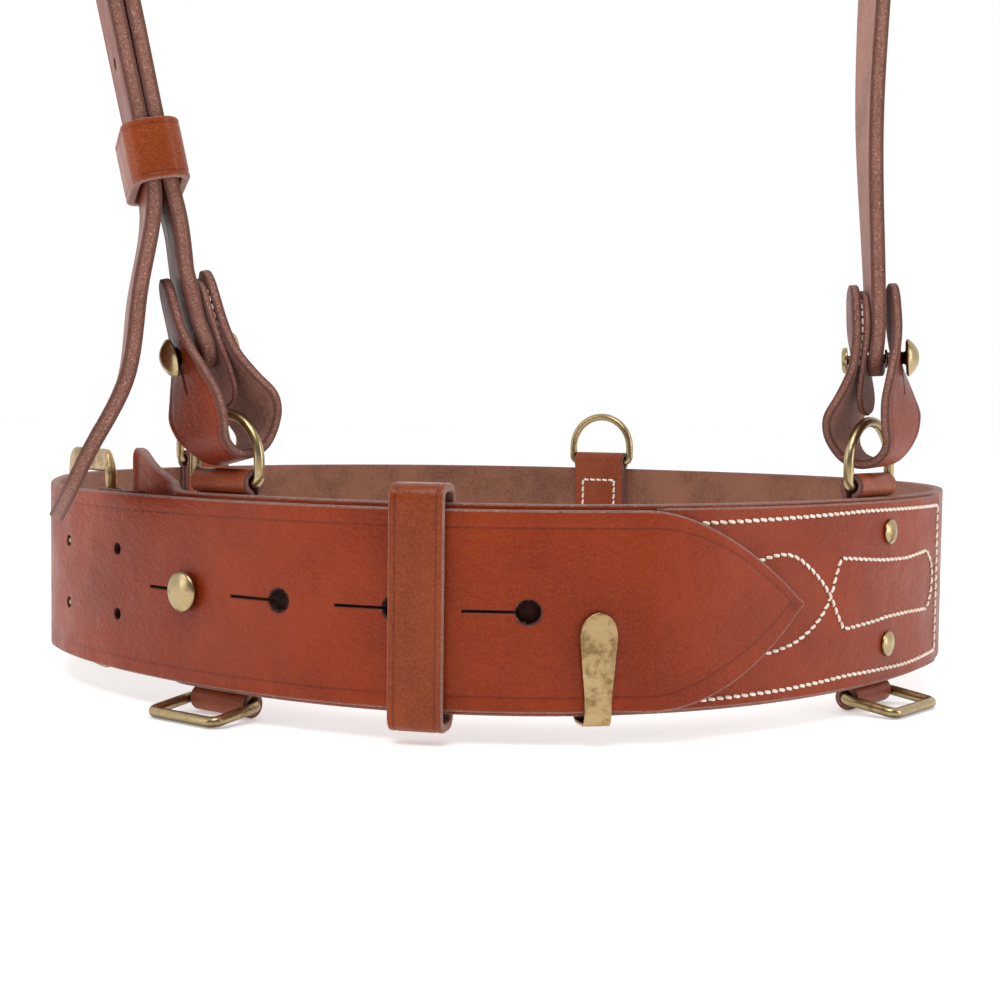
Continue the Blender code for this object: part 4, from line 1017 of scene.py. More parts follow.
def buckle_line():
    """The belt buckle's heel bar, and its directions towards the far bar and outward."""
    heel = belt_place(HEEL_U, 0, HEEL_W)
    far = belt_place(FAR_BAR_U, 0, HEEL_W + 0.0004)
    chord = (far - heel).normalized()
    out = Vector((-chord.y, chord.x, 0))
    return heel, chord, out, (far - heel).length


def build_buckle():
    """Heel bar, frame and two tongues, all on the heel bar's axis, and the chape that holds them."""
    heel, chord, out, span = buckle_line()

    def place(a, z, b):
        return heel + chord * a + out * b + UP * z

    ring, radii = [], []
    for a, z in rounded_loop(span / 2, FRAME_HALF, 0.0050, 10):
        ring.append(place(a + span / 2, z + FRAME_LIFT, 0))
        at_heel = 1 - ease(a, -span / 2, -span / 2 + 0.004)
        on_side = ease(abs(z), FRAME_HALF - 0.0040, FRAME_HALF - 0.0002)
        wide = 0.0021 + 0.0017 * on_side
        radii.append((wide + (BAR_RADIUS - wide) * at_heel, 0.0012 + (BAR_RADIUS - 0.0012) * at_heel))
    make_wire("buckle_frame", ring, out, "pale_brass", radii=radii, sides=20, flat_power=0.6)

    hole_in = belt_place(5 * PITCH, 0, LAYER - LEATHER / 2) - heel
    hole_out = belt_place(5 * PITCH, 0, LAYER + 0.0008) - heel
    entry = hole_in.dot(chord)
    for name, z in (("tongue_upper", TONGUE_Z), ("tongue_lower", -TONGUE_Z)):
        path = [place(a, z, b) for a, b in arc(0, 0, BAR_RADIUS + 0.0003 + 0.0011, EYE_TURNS)]
        reach = ((0.0085, 0.0006), (entry - 0.006, 0.0009), (entry - 0.0015, 0.0020),
                 (entry, hole_in.dot(out) + 0.0004), (hole_out.dot(chord), hole_out.dot(out)))
        path += smooth_curve([path[-1]] + [place(a, z, b) for a, b in reach], 5)[1:]
        make_wire(name, path, UP, closed=False, radii=(0.0011, 0.0011), sides=12)

    wrap = BAR_RADIUS + CLEARANCE + 0.0010
    back_ply = [belt_place(u, 0, w) for u, w in (
        (0.1430, -0.00175), (0.1480, -0.00175), (0.1530, -0.00175), (0.1575, -0.0030), (0.1610, -0.0048))]
    bend = [place(a, 0, b) for a, b in arc(0, 0, wrap, range(-80, 101, 12))]
    front_ply = [belt_place(u, 0, w) for u, w in (
        (0.1620, 0.0005), (0.1550, 0.0006), (0.1490, 0.0006), (0.1430, 0.0006))]
    path = back_ply + bend + front_ply
    strip = Ribbon(path, [UP] * len(path))
    middle = strip.at(len(back_ply) + len(bend) // 2)
    low, high = BUCKLE_CHAPE_LIFT - BUCKLE_CHAPE_HALF, BUCKLE_CHAPE_LIFT + BUCKLE_CHAPE_HALF
    outline = [(0, low), (strip.length, low), (strip.length, high), (0, high)]
    slots = [slot(middle, 0.0105, 0.0018, z) for z in (TONGUE_Z, -TONGUE_Z)]
    make_sheet("buckle_chape", outline, strip.place, 0.0020, "chape_leather", slots, strip.folds(),
               round_off=FINE_ROUND)
    rows = [[(at, low + 0.003), (at, high - 0.003)] for at in (0.0028, 0.0065)]
    make_stitches("buckle_chape_stitches", "buckle_chape", rows, strip.place, 0.0010, side=-1)


def build_belt_stud():
    """Button stud through the billet's last keyhole, and the washer on its foot."""
    point, _, out = belt_axes(STUD_U)
    outer_face = LAYER + LEATHER / 2
    head = outer_face + 0.0010
    foot = TAB_DEPTH - TAB_PLY / 2
    step = LEATHER / 2 + CLEARANCE
    profile = [(foot - 0.0022, 0.0010), (foot - 0.0019, RIVET_RADIUS), (step, RIVET_RADIUS),
               (step, 0.0024), (head, 0.0024)]
    profile += [(head + h, r) for h, r in (
        (0.0, 0.0050), (0.0003, 0.0057), (0.0008, 0.0061), (0.0013, 0.0062), (0.0017, 0.0060),
        (0.0020, 0.0055), (0.0024, 0.0042), (0.0028, 0.0026), (0.0030, 0.0012), (0.0030, 0.0002))]
    make_turned("belt_stud", profile, point, out, 48)
    washer = [(foot - h, r) for h, r in ((0.0007, 0.0019), (0.0007, 0.0040), (0.0009, 0.0042),
                                         (0.0015, 0.0042), (0.0017, 0.0040), (0.0017, 0.0019))]
    make_turned("belt_stud_washer", washer, point, out, ring=True)


def build_belt_hook():
    """Flat brass tongue that comes from inside, round the lower edge, over the billet."""
    place = local_frame(HOOK_U)
    _, along, _ = belt_axes(HOOK_U)
    front = LAYER + LEATHER / 2 + 0.0012
    back = -LEATHER / 2 - 0.0015
    low = -BELT_HALF - 0.0019
    corner = ((0.0, 0.003), (0.0003, 0.0016), (0.0008, 0.0008), (0.0016, 0.0002), (0.0028, 0.0))
    path = [(front, z) for z in (0.0002, -0.005, -0.010, -0.015, -0.020, low + 0.005)]
    path += [(front - inward, low + up) for inward, up in corner]
    path += [(back + inward, low + up) for inward, up in reversed(corner)]
    path += [(back, -0.020), (back, -0.013)]
    strip = Ribbon([place(0, z, w) for w, z in path], [along] * len(path))
    end = strip.length
    profile = [(0, 0), (0.0007, 0.0022), (0.0028, 0.0044), (0.0052, 0.0052), (0.012, 0.0050),
               (0.026, 0.0039), (0.034, 0.0040), (0.044, 0.0055), (end - 0.002, 0.0052), (end, 0.0035)]
    rivet = rivet_hole(end - 0.005, 0, 0.0003, 16)
    make_sheet("belt_hook", strip_outline(profile, 6), strip.place, 0.0010, "pale_brass", [rivet],
               strip.folds(), round_off=0.0003, name="belt_hook_metal")
    profile = [(-0.0055, 0.0010), (-0.0053, 0.0022), (-0.0049, 0.0030), (-0.0040, 0.0030),
               (-0.0040, RIVET_RADIUS), (LEATHER / 2, RIVET_RADIUS)]
    base, _, out = belt_axes(HOOK_U)
    make_turned("hook_rivet", profile, base + UP * HOOK_RIVET_Z, out)


# ---- Ring tabs
def tab_path(has_lower):
    """Middle line of a tab in (w, z): folded over its ring bar at each end."""
    turn = WIRE + CLEARANCE + TAB_PLY / 2
    pinch = TAB_DEPTH - TAB_PLY - 0.0003
    top_z = BELT_HALF - 0.0020

    def eye(centre_z, flip):
        return [(w, centre_z + flip * z) for w, z in arc(TUBE_DEPTH, 0, turn, EYE_STEPS)]

    path = [(pinch, 0.0110), (pinch, 0.0150), (pinch, top_z), *eye(TUBE_Z, 1), (TAB_DEPTH, top_z)]
    if not has_lower:
        return path + [(TAB_DEPTH, 0.005), (TAB_DEPTH, -0.0140)]
    return path + [(TAB_DEPTH, 0.010), (TAB_DEPTH, -0.010), (TAB_DEPTH, -top_z),
                   *reversed(eye(LOWER_TUBE_Z, -1)), (pinch, -top_z), (pinch, -0.0110)]


def build_tab(node, u, has_lower, stud_offset=None):
    place = local_frame(u)
    _, along, out = belt_axes(u)
    path = tab_path(has_lower)
    strip = Ribbon([place(0, z, w) for w, z in path], [along] * len(path))
    end = strip.length
    corner = 0.003
    arcs = [(-s, c) for s, c in quarter_arc(-corner, TAB_HALF - corner, corner)]
    near = arcs + [(s, -c) for s, c in reversed(arcs)]
    outline = near + [(end - s, c) for s, c in reversed(near)]
    heights = [z for _, z in path]
    flat_first = next(i for i, (w, _) in enumerate(path) if w == TAB_DEPTH)

    def on_ply(z):
        """Length along the tab where its outer ply has height z."""
        return strip.at(flat_first) + heights[flat_first] - z

    holes = []
    if has_lower:
        holes += [rivet_hole(on_ply(z)) for z in RIVET_HEIGHTS.values()]
        holes.append(rivet_hole(RIVET_HEIGHTS["upper"] - 0.0110))
        holes.append(rivet_hole(end - (heights[-1] - RIVET_HEIGHTS["lower"])))
    if stud_offset is not None:
        holes.append(rivet_hole(on_ply(0), stud_offset, 0.0007))
    outward = grain_side(strip, out, strip.at(flat_first))
    make_sheet(node, outline, outward, TAB_PLY, "tab_leather", holes, strip.folds(),
               round_off=FINE_ROUND)
    if not has_lower:
        sew_back_tab(node, place, outward)


def sew_back_tab(node, place, outward):
    """A sewn box that holds a back tab's folded ply, seen on the tab and on the belt's outside."""
    half, top, low = 0.0078, 0.0248, -0.0108
    ply_top, ply_low = top - 0.0110, 0.0016
    folded = [[(ply_low, -half), (ply_top, -half)], [(ply_top, -half), (ply_top, half)],
              [(ply_top, half), (ply_low, half)], [(ply_low, half), (ply_low, -half)]]
    make_stitches(node + "_stitches", node, folded, outward, TAB_PLY / 2, slant=6)
    box = [[(-half, low), (-half, top)], [(-half, top), (half, top)], [(half, top), (half, low)],
           [(half, low), (-half, low)]]
    make_stitches(node + "_stitches_outside", node, box, place, LEATHER / 2, slant=6)


def build_d_ring(node, u):
    place = local_frame(u)
    _, _, out = belt_axes(u)
    corner = 0.0024
    straight = RING_HALF - corner
    bend = [(straight + corner * sind(t), corner - corner * cosd(t)) for t in range(15, 91, 15)]
    path = [(a, 0) for a in np.linspace(-straight, straight, 5)] + bend
    path += arc(0, RING_RISE - RING_HALF, RING_HALF, range(0, 181, 5))
    path += [(-a, z) for a, z in reversed(bend)]
    points = [place(a, TUBE_Z + z, TUBE_DEPTH) for a, z in path]
    make_wire(node, points, out)


def build_lower_ring(node, u):
    place = local_frame(u)
    outline = rounded_loop(RING_HALF, LOWER_RING_SPAN / 2, 0.0026, 9)
    dip = LOWER_RING_DIP
    points = []
    for a, reach in outline:
        reach += LOWER_RING_SPAN / 2
        points.append(place(a, LOWER_TUBE_Z - reach * math.sin(dip), TUBE_DEPTH + reach * math.cos(dip)))
    _, along, out = belt_axes(u)
    normal = along.cross(out * math.cos(dip) - UP * math.sin(dip)).normalized()
    make_wire(node, points, normal)


def build_rivets(side, u, outer_face):
    """Two tubular rivets through a front tab; a face under the billet is left flush."""
    base, _, out = belt_axes(u)
    inner = TAB_DEPTH - TAB_PLY * 1.5 - 0.0006
    for level, z in RIVET_HEIGHTS.items():
        centre = base + UP * z
        profile = [(inner - 0.0008, 0.0006), (inner - 0.0008, 0.0015), (inner - 0.0005, 0.0018),
                   (inner, 0.0018), (inner, RIVET_RADIUS)]
        if outer_face:
            face = outer_face + 0.0003
            profile += [(face, RIVET_RADIUS), (face, RIVET_HEAD - 0.0002), (face + 0.0002, RIVET_HEAD),
                        (face + 0.0006, RIVET_HEAD - 0.0001)]
            profile += [(face + 0.0017 - 0.0011 * (r / 0.0038) ** 2, r)
                        for r in (0.0036, 0.0031, 0.0025, 0.0018, 0.0011, 0.0005, 0.0001)]
        else:
            profile.append((LEATHER / 2, RIVET_RADIUS))
        make_turned(f"rivet_{side}_{level}", profile, centre, out)
        burr = [(inner + 0.0003, 0.0019), (inner + 0.0003, 0.0036), (inner + 0.0001, 0.0038),
                (inner - 0.0004, 0.0037), (inner - 0.0006, 0.0034), (inner - 0.0006, 0.0021)]
        make_turned(f"rivet_burr_{side}_{level}", burr, centre, out, ring=True)


# ---- Shoulder strap
def hanger_frame(u, lean, low_turn, high_turn, side):
    """Axes of a hanger that is folded round a D-ring: n across its leaves, c its width.

    The hanger leans in the X-Z plane, and its width turns from low_turn at the ring to
    high_turn at its top, both in degrees from +X. side is +1 where the stud faces +X.
    """
    top = belt_place(u, TUBE_Z + RING_RISE, TUBE_DEPTH)
    up = Vector((sind(lean), 0, cosd(lean)))

    def axes(height):
        turn = math.radians(low_turn + (high_turn - low_turn) * ease(height, 0.0, 0.032))
        width = Vector((math.cos(turn), math.sin(turn), 0))
        width = (width - up * width.dot(up)).normalized()
        across = width.cross(up).normalized()
        return across if across.x * side > 0 else -across, width

    def place(n, height, c=0.0):
        across, width = axes(height)
        return top + up * height + across * n + width * c

    return place, axes


LEFT_HANGER = hanger_frame(TAB_LEFT_U, -15.0, 133.0, 110.0, -1)
RIGHT_HANGER = hanger_frame(TAB_RIGHT_U, -3.0, 56.0, 84.0, 1)
STRAP_MIDDLE = STRAP_THICKNESS / 2 + 0.0001


def grain_side(strip, out, at=None):
    """The ribbon's place, turned over if needed so that +w is on the side that faces out there."""
    at = strip.length / 2 if at is None else at
    flip = -1 if (strip.place(at, 0, 0.001) - strip.place(at, 0, 0)).dot(out) < 0 else 1
    return lambda s, c, w: strip.place(s, c, w * flip)


def build_chape(node, hanger):
    """Teardrop hanger: near leaf, fold through the ring, and the leaf that buttons on the stud."""
    place, axes = hanger
    half_path = [(-0.0043, 0.044), (-0.0043, 0.035), (-0.0043, 0.026), (-0.0044, 0.017), (-0.0062, 0.009),
                 (-0.0092, 0.000), (-0.0090, -0.007), (-0.0056, -0.0117)]
    other_half = [(0.0056, -0.0117), (0.0092, -0.007), (0.0102, 0.000), (0.0098, 0.009), (0.0088, 0.018),
                  (0.0084, 0.026), (0.0082, 0.035), (0.0080, 0.044)]
    flat = flat_curve(half_path + [(0, -0.0134)] + other_half, 4)
    strip = Ribbon([place(n, h) for n, h in flat], [axes(h)[1] for _, h in flat])
    end = strip.length
    heights = [h for _, h in flat]
    fold = strip.at(heights.index(min(heights)))
    shape = ((0.0, 0.0), (0.0012, 0.0042), (0.0040, 0.0070), (0.008, 0.0082), (0.020, 0.0095),
             (0.032, 0.0128), (0.040, 0.0150), (0.046, 0.0140), (0.052, 0.0102), (0.058, 0.0085))
    leaf = 0.0625               # length of a leaf as shape gives it
    first = [(s * fold / leaf, half) for s, half in shape]
    second = [(end - s * (end - fold) / leaf, half) for s, half in reversed(shape)]
    outline = strip_outline(first + second)

    def stud_length(sign):
        """Length to the stud's height on the near leaf, +1, or the far leaf, -1."""
        level = min(range(len(flat)), key=lambda i: abs(heights[i] - CHAPE_STUD_HEIGHT)
                    + (i * sign > len(flat) // 2 * sign))
        return strip.at(level) + sign * (heights[level] - CHAPE_STUD_HEIGHT)

    holes = [circle(stud_length(1), 0, 0.0021, 14), keyhole(stud_length(-1), 0, 0.0029, -0.012, 0.0003)]
    outward = grain_side(strip, Vector((0, 0, -1)))
    creases = inset_creases(outline, 0.0022, 0.004, end - 0.004)
    make_sheet(node, outline, outward, CHAPE_THICKNESS, "chape_leather", holes, strip.folds(), creases)


def build_chape_stud(side, hanger):
    """Strap stud with a conical head, and the screw base on the hanger's other leaf."""
    place, axes = hanger
    across, _ = axes(CHAPE_STUD_HEIGHT)
    base = place(0, CHAPE_STUD_HEIGHT)
    flange = STRAP_THICKNESS + 0.0005
    head = 0.0115
    profile = [(-0.0052, 0.0015), (flange, 0.0015), (flange, 0.0028), (flange + 0.0002, 0.0030),
               (flange + 0.0006, 0.0030), (flange + 0.0009, 0.0020), (head - 0.0004, 0.0020)]
    profile += [(head + h, r) for h, r in (
        (0.0, 0.0024), (0.0001, 0.0052), (0.0004, 0.0058), (0.0009, 0.0060), (0.0014, 0.0057),
        (0.0022, 0.0049), (0.0030, 0.0039), (0.0037, 0.0027), (0.0041, 0.0015), (0.0042, 0.0003))]
    make_turned("strap_stud_" + side, profile, base, across)
    profile = [(-0.0084, 0.0006), (-0.0084, 0.0030), (-0.0082, 0.0037), (-0.0078, 0.0041),
               (-0.0067, 0.0042), (-0.0067, 0.0015), (-0.0056, 0.0015)]
    make_turned("stud_screw_" + side, profile, base, across)


def build_patch(side, hanger):
    """Stitched ply that backs the strap's end and carries the stud."""
    place, axes = hanger
    node = "strap_patch_" + side
    path = [(-0.0013, 0.002 + 0.002 * i) for i in range(21)]
    strip = Ribbon([place(n, h) for n, h in path], [axes(h)[1] for _, h in path])
    end = strip.length
    profile = [(0, 0), (0.0016, 0.0044), (0.005, 0.0068), (0.010, 0.0078), (0.020, 0.0085),
               (0.030, 0.0098), (0.037, 0.0075), (end - 0.001, 0.003), (end, 0)]
    outward = grain_side(strip, -axes(CHAPE_STUD_HEIGHT)[0])
    outline = strip_outline(profile)
    hole = circle(CHAPE_STUD_HEIGHT - path[0][1], 0, 0.0018, 14)
    make_sheet(node, outline, outward, PATCH_THICKNESS, "strap_leather", [hole], strip.folds(),
               round_off=FINE_ROUND)
    sewn_from = 0.016
    sewn = [p for p in offset_ring(outline[::-1], 0.0019) if sewn_from < p[0] < end]
    sewn.sort(key=lambda p: math.atan2(p[1], p[0] - sewn_from))
    make_stitches(node + "_stitches", node, [sewn], outward, PATCH_THICKNESS / 2, pitch=0.0025, slant=8)


BUTTONED_LOW = 0.0145       # of a strap's buttoned end, above the D-ring's top
BUCKLE_BAR = Vector((-0.1265, -0.1165, 0.2300))        # heel bar of the shoulder buckle
BUCKLE_UP = Vector((-0.220, 0.06, 0.974)).normalized()  # the left strap's run near it
BUCKLE_OUT = Vector((-0.925, -0.320, -0.189))           # out of the left strap's face there
FOLD_THICKNESS = 0.0024     # the left strap where it is pared to go round the bar
BAR_TURN = BAR_RADIUS + 0.0005 + FOLD_THICKNESS / 2  # from the bar's middle to the fold's
PLY_STEP = 0.0051           # between the middles of two plies that lie on each other
BUCKLE_LENGTH = 0.028
BUCKLE_TILT = 0.0095        # how far the frame's far bar stands out
KEEPER_DOWN = -0.028        # fixed keeper, along the strap from the heel bar
RUNNER_DOWN = -0.103
RUNNER_ROOM = 0.0012        # between the plies and the runner, out of their faces
RUNNER_SIDE = 0.0018        # between the plies' edges and the loops round them


def buckle_axes():
    """Across the strap, up the strap and out of its face, near the shoulder buckle."""
    up = BUCKLE_UP
    out = (BUCKLE_OUT - up * BUCKLE_OUT.dot(up)).normalized()
    across = up.cross(out).normalized()
    return (across if across.y > 0 else -across), up, out


def buckle_place(along, out_by, across_by=0.0):
    """A place from the heel bar's middle: up the strap, out of its face, across it."""
    across, up, out = buckle_axes()
    return BUCKLE_BAR + up * along + out * out_by + across * across_by


def buckle_run(*steps):
    return [buckle_place(*step) for step in steps]


def strap_start(hanger):
    """The strap's first stretch, buttoned between the hanger's leaves."""
    place, axes = hanger
    heights = (BUTTONED_LOW, 0.018, 0.022, 0.026, 0.030, 0.034, 0.038, 0.041, 0.044)
    return [place(STRAP_MIDDLE, h) for h in heights], [axes(h)[1] for h in heights]


def turn_widths(count, start, end, wait=0):
    """Width directions that turn evenly from start to end, once wait of them have passed."""
    return [start.lerp(end, ease(i, wait, count - 1)).normalized() for i in range(count)]


STUD_HOLE = circle(CHAPE_STUD_HEIGHT - BUTTONED_LOW, 0, 0.0020, 16)
BUTTONED_END = [(0, 0), (0.0020, 0.0050), (0.006, 0.0080), (0.014, 0.0088), (0.024, 0.0100),
                (0.040, 0.0118), (0.060, STRAP_HALF)]


def strap_outline(length, tip):
    """Buttoned end that widens to the strap's width, and at the other end the tip's points."""
    upper = [(s, abs(c)) for s, c in flat_curve(BUTTONED_END)]
    upper += [(s, STRAP_HALF) for s in even_lines(0.062, length - tip[0][0] - 0.002, 0.010)]
    upper += [(length - back, half) for back, half in tip]
    return upper + [(s, -c) for s, c in reversed(upper) if c > 1e-6]


def build_strap_left():
    """The short strap: up from the left hanger, and folded round the buckle's heel bar."""
    start, start_widths = strap_start(LEFT_HANGER)
    across, _, _ = buckle_axes()
    lie = -PLY_STEP / 2
    turn = BAR_TURN
    bar_out = lie - turn + 0.0012
    rise = [start[-1]] + buckle_run((-0.123, lie - 0.0004), (-0.112, lie), (-0.060, lie), (-0.020, lie),
                                    (-0.006, bar_out + turn))
    rise = smooth_curve(rise, 8)[1:]
    bend = buckle_run(*((turn * sind(a), bar_out + turn * cosd(a)) for a in range(0, 181, 12)))
    back = lie - STRAP_THICKNESS / 2 - 0.0004 - FOLD_THICKNESS / 2
    fall = smooth_curve(buckle_run((-0.006, bar_out - turn), (-0.016, back), (-0.044, back)), 6)
    turning = 10
    widths = start_widths + turn_widths(turning, start_widths[-1], across)
    widths += [across] * (len(rise) - turning + len(bend) + len(fall))
    strip = Ribbon(start + rise + bend + fall, widths)
    end = strip.length
    bend_s = strip.at(len(start) + len(rise) + len(bend) // 2)
    pared = FOLD_THICKNESS / STRAP_THICKNESS
    outward = grain_side(strip, buckle_axes()[2])

    def place(s, c, w):
        share = 1 + (pared - 1) * ease(s, bend_s - 0.030, bend_s - 0.012)
        return outward(s, c, w * share)

    tip = [(0.020, STRAP_HALF), (0.006, 0.0110), (0.0015, 0.0060), (0.0, 0.0)]
    outline = strap_outline(end, tip)
    holes = [STUD_HOLE, slot(bend_s, 0.0102)]
    creases = inset_creases(outline, 0.0021, 0.004, end - 0.004)
    make_sheet("strap_left", outline, place, STRAP_THICKNESS, "strap_leather", holes, strip.folds(),
               creases)
    sewn, row = end - 0.030, 0.0090
    rows = [[(sewn, side * row), (end - 0.007, side * row)] for side in (1, -1)]
    rows.append([(sewn, -row), (sewn, row)])
    make_stitches("strap_left_stitches", "strap_left", rows, outward, FOLD_THICKNESS / 2)


def build_strap_right():
    """The long strap: from the right hanger over the shoulder, through the buckle, to its tail."""
    start, start_widths = strap_start(RIGHT_HANGER)
    across, _, _ = buckle_axes()
    lie = PLY_STEP / 2
    arch = [Vector(p) for p in (
        start[-1], (0.1195, -0.092, 0.150), (0.1215, -0.088, 0.210), (0.1240, -0.082, 0.290),
        (0.1100, -0.074, 0.372), (0.0680, -0.068, 0.440), (0.0060, -0.068, 0.470), (-0.0600, -0.074, 0.446),
        (-0.1060, -0.086, 0.390), (-0.1300, -0.099, 0.325))]
    arch += buckle_run((0.050, -0.0020), (0.030, -0.0016), (0.012, 0.0012), (-0.004, lie))
    arch = smooth_curve(arch, 10)[1:]
    fall = [arch[-1], *buckle_run((-0.020, lie), (-0.060, lie), (-0.100, lie), (-0.112, lie)),
            (-0.1068, -0.1300, 0.088), (-0.1100, -0.1310, 0.064), (-0.1215, -0.1270, 0.043),
            belt_place(0.159, 0.0255, 0.0172)]
    fall = smooth_curve(fall, 8)[1:]
    facing = Vector((-0.04, 1, 0)).normalized()
    hang = Vector((-0.24, 0.97, 0)).normalized()
    twisted = 20
    widths = start_widths + turn_widths(twisted, start_widths[-1], facing)
    widths += turn_widths(len(arch) - twisted, facing, across)
    widths += turn_widths(len(fall), across, hang, len(fall) / 2)
    strip = Ribbon(start + arch + fall, widths)
    end = strip.length
    tip = [(0.080, STRAP_HALF), (0.060, 0.0118), (0.040, 0.0112), (0.0125, 0.0104), (0.0070, 0.0098),
           (0.0046, 0.0086), (0.0030, 0.0074), (0.0016, 0.0056), (0.0008, 0.0040), (0.0002, 0.0020),
           (0.0, 0.0)]
    heel_s = strip.at(len(start) + len(arch) - 1) - 0.004
    punched = [circle(heel_s + 0.024 * i, 0, 0.0018, 14) for i in (2, 3)]
    outline = strap_outline(end, tip)
    holes = [STUD_HOLE, slot(heel_s - 0.0105, 0.0085), *punched]
    outward = grain_side(strip, UP)
    creases = inset_creases(outline, 0.0021, 0.004, end - 0.003)
    make_sheet("strap_right", outline, outward, STRAP_THICKNESS, "strap_leather", holes, strip.folds(),
               creases)


def build_shoulder_buckle():
    """Frame and tongue of the shoulder buckle, both on the heel bar's axis."""
    across, up, out = buckle_axes()
    heel_out = -PLY_STEP / 2 - BAR_TURN + 0.0012
    tilt = math.atan2(BUCKLE_TILT, BUCKLE_LENGTH)
    heel = buckle_place(0, heel_out)
    along = up * math.cos(tilt) + out * math.sin(tilt)
    face = out * math.cos(tilt) - up * math.sin(tilt)
    half = STRAP_HALF + 0.0036
    ring = [heel + along * (a + BUCKLE_LENGTH / 2) + across * c
            for a, c in rounded_loop(BUCKLE_LENGTH / 2, half, 0.0034, 9)]
    make_wire("brace_buckle", ring, face, radii=(BAR_RADIUS, BAR_RADIUS))
    thick = 0.0012
    eye = BAR_RADIUS + 0.0003 + thick
    path = [heel + along * eye * cosd(a) + face * eye * sind(a) for a in EYE_TURNS]
    rest = BAR_RADIUS + thick + 0.0004
    reach = ((0.010, 0.0020), (0.020, rest - 0.0002), (BUCKLE_LENGTH + 0.0020, rest))
    path += smooth_curve([path[-1]] + [heel + along * a + face * b for a, b in reach], 6)[1:]
    slim = thick - 0.00018
    make_wire("brace_tongue", path, across, closed=False, radii=(slim, slim), sides=14)


def build_strap_loop(node, along, half_length, inner_low, inner_high, thickness, corner):
    """A closed leather loop round the plies that lie between inner_low and inner_high."""
    _, up, _ = buckle_axes()
    middle = (inner_low + inner_high) / 2
    half_out = (inner_high - inner_low + thickness) / 2
    half_across = STRAP_HALF + RUNNER_SIDE + thickness / 2
    ring = [buckle_place(along, middle + b, c)
            for c, b in rounded_loop(half_across, half_out, corner, 12)]
    make_band(node, ring, up, half_length, thickness, 0.0018)
    face = inner_low - thickness
    ends = half_length - 0.003
    seam = [[(-0.0020, z), (0.0020, z + 0.0008)] for z in np.linspace(-ends, ends, 4)]
    make_stitches(node + "_seam", node, seam, lambda a, z, w: buckle_place(along + z, w, a), -face,
                  side=-1, pitch=0.0042, slant=0)


def build_strap_loops():
    face = PLY_STEP / 2 + STRAP_THICKNESS / 2
    room = RUNNER_ROOM
    build_strap_loop("strap_runner", RUNNER_DOWN, 0.0090, -face - room, face + room, 0.0026, 0.0055)
    back = -face - 0.0004 - FOLD_THICKNESS
    build_strap_loop("brace_keeper", KEEPER_DOWN, 0.0060, back - 0.0007, face + 0.0008, 0.0024, 0.0024)


# ---- Setting
FLOOR_Z = CAD_BOX[0].z - 0.0004
FLOOR_RADIUS = 9.0
FLOOR_GLOW = 0.34           # a light table, so that the floor stays white


def build_floor():
    """A plain pale floor, large enough for every view."""
    mesh = bpy.data.meshes.new("floor")
    rim = circle(0, 0, FLOOR_RADIUS, 64)
    mesh.from_pydata([(x, y, FLOOR_Z) for x, y in rim], [], [tuple(range(len(rim)))])
    floor = link_new("floor", mesh)
    s = Surface("floor_paper")
    pale = s.mix(s.noise(3, 2), (0.93, 0.93, 0.93, 1), (0.96, 0.96, 0.96, 1))
    tooth = s.bump(s.noise(400, 2), 0.02, 0.0005)
    mesh.materials.append(s.finish(pale, 0.85, tooth, Specular_IOR_Level=0.1,
                                   Emission_Color=(1, 1, 1, 1), Emission_Strength=FLOOR_GLOW))


def add_light(name, place, aim, size, watts):
    light = bpy.data.lights.new(name, "AREA")
    light.shape = "RECTANGLE"
    light.size, light.size_y = size
    light.energy = watts
    lamp = link_new(name, light)
    lamp.location = place
    lamp.rotation_euler = (Vector(aim) - Vector(place)).to_track_quat("-Z", "Y").to_euler()


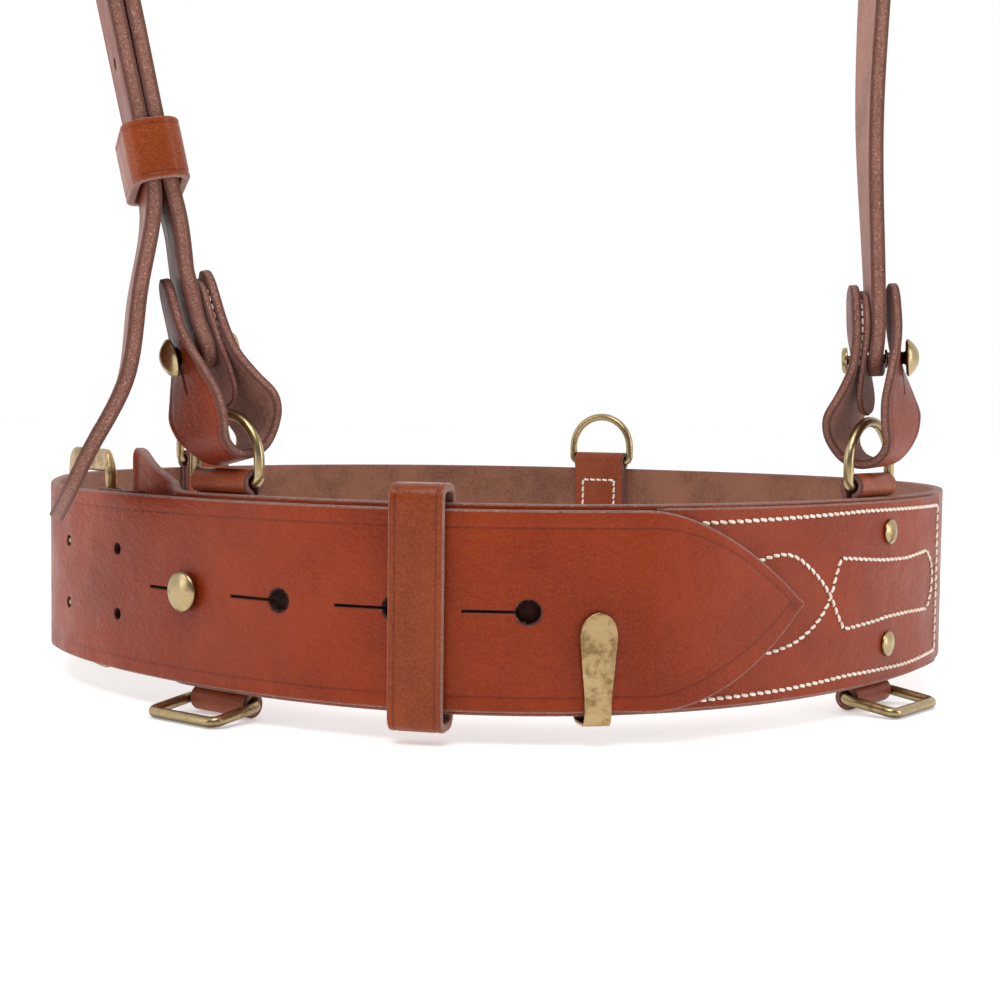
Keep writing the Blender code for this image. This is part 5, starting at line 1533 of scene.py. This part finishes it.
def light_scene():
    """White all round for the view, but dim from the front, so that the leather keeps its depth."""
    world = bpy.data.worlds.new("studio")
    bpy.context.scene.world = world
    world.use_nodes = True
    tree = world.node_tree
    background = tree.nodes["Background"]
    direction, parts, sides, seen, strength = (tree.nodes.new("ShaderNode" + kind) for kind in (
        "TexCoord", "SeparateXYZ", "MapRange", "LightPath", "Mix"))
    for name, value in (("From Min", -0.75), ("From Max", 0.15), ("To Min", 0.10), ("To Max", 0.95)):
        sides.inputs[name].default_value = value
    for start, end in ((direction.outputs["Generated"], parts.inputs[0]),
                       (parts.outputs["Y"], sides.inputs["Value"]),
                       (seen.outputs["Is Camera Ray"], strength.inputs[0]),
                       (sides.outputs[0], strength.inputs[2]),
                       (strength.outputs[0], background.inputs["Strength"])):
        tree.links.new(start, end)
    strength.inputs[3].default_value = 1.0
    background.inputs["Color"].default_value = (1.0, 1.0, 1.0, 1.0)
    add_light("softbox_above", (-0.25, -1.0, 1.5), (0, -0.1, 0.02), (1.0, 0.8), 15)
    add_light("softbox_right", (1.5, -0.7, 0.5), (0.1, -0.1, 0.05), (0.4, 1.2), 7)
    add_light("softbox_left", (-1.6, -0.6, 0.6), (-0.1, -0.1, 0.05), (0.4, 1.2), 4)


CAMERA_PLACE = (0.0025, -0.6063, 0.0554)
CAMERA_DOWN, CAMERA_ROLL = 0.0549, 0.0123  # radians
FOCAL_LENGTH = 57.06


def add_camera():
    camera = bpy.data.cameras.new("camera")
    camera.sensor_width = 36.0
    camera.lens = FOCAL_LENGTH
    camera.clip_start = 0.01
    viewer = link_new("camera", camera)
    turn = Matrix.Rotation(math.radians(90) - CAMERA_DOWN, 4, "X") @ Matrix.Rotation(CAMERA_ROLL, 4, "Z")
    viewer.matrix_world = Matrix.Translation(CAMERA_PLACE) @ turn
    bpy.context.scene.camera = viewer


def main():
    add_camera()
    build_floor()
    light_scene()
    build_belt_strap()
    build_keyhole_fibres()
    build_keyhole_painted_shadow()
    build_front_panel()
    build_panel_stitches()
    build_belt_keeper()
    build_buckle()
    build_belt_stud()
    build_belt_hook()
    front_tabs = {"left": TAB_LEFT_U, "right": TAB_RIGHT_U}
    back_tabs = {"left": TAB_BACK_LEFT_U, "right": TAB_BACK_RIGHT_U}
    for side, u in front_tabs.items():
        build_tab("tab_front_" + side, u, True, STUD_U - u if side == "left" else None)
    for side, u in back_tabs.items():
        build_tab("tab_back_" + side, u, False)
    for where, tabs in (("front_", front_tabs), ("back_", back_tabs)):
        for side, u in tabs.items():
            build_d_ring("d_ring_" + where + side, u)
    for side, u in front_tabs.items():
        build_lower_ring("lower_ring_" + side, u)
    build_rivets("left", TAB_LEFT_U, None)
    build_rivets("right", TAB_RIGHT_U, PANEL_FLOOR + PANEL_THICKNESS)
    for side, hanger in (("left", LEFT_HANGER), ("right", RIGHT_HANGER)):
        build_chape("chape_" + side, hanger)
        build_chape_stud(side, hanger)
        build_patch(side, hanger)
    build_strap_left()
    build_strap_right()
    build_shoulder_buckle()
    build_strap_loops()


main()
bpy.context.scene.view_settings.view_transform = "Standard"
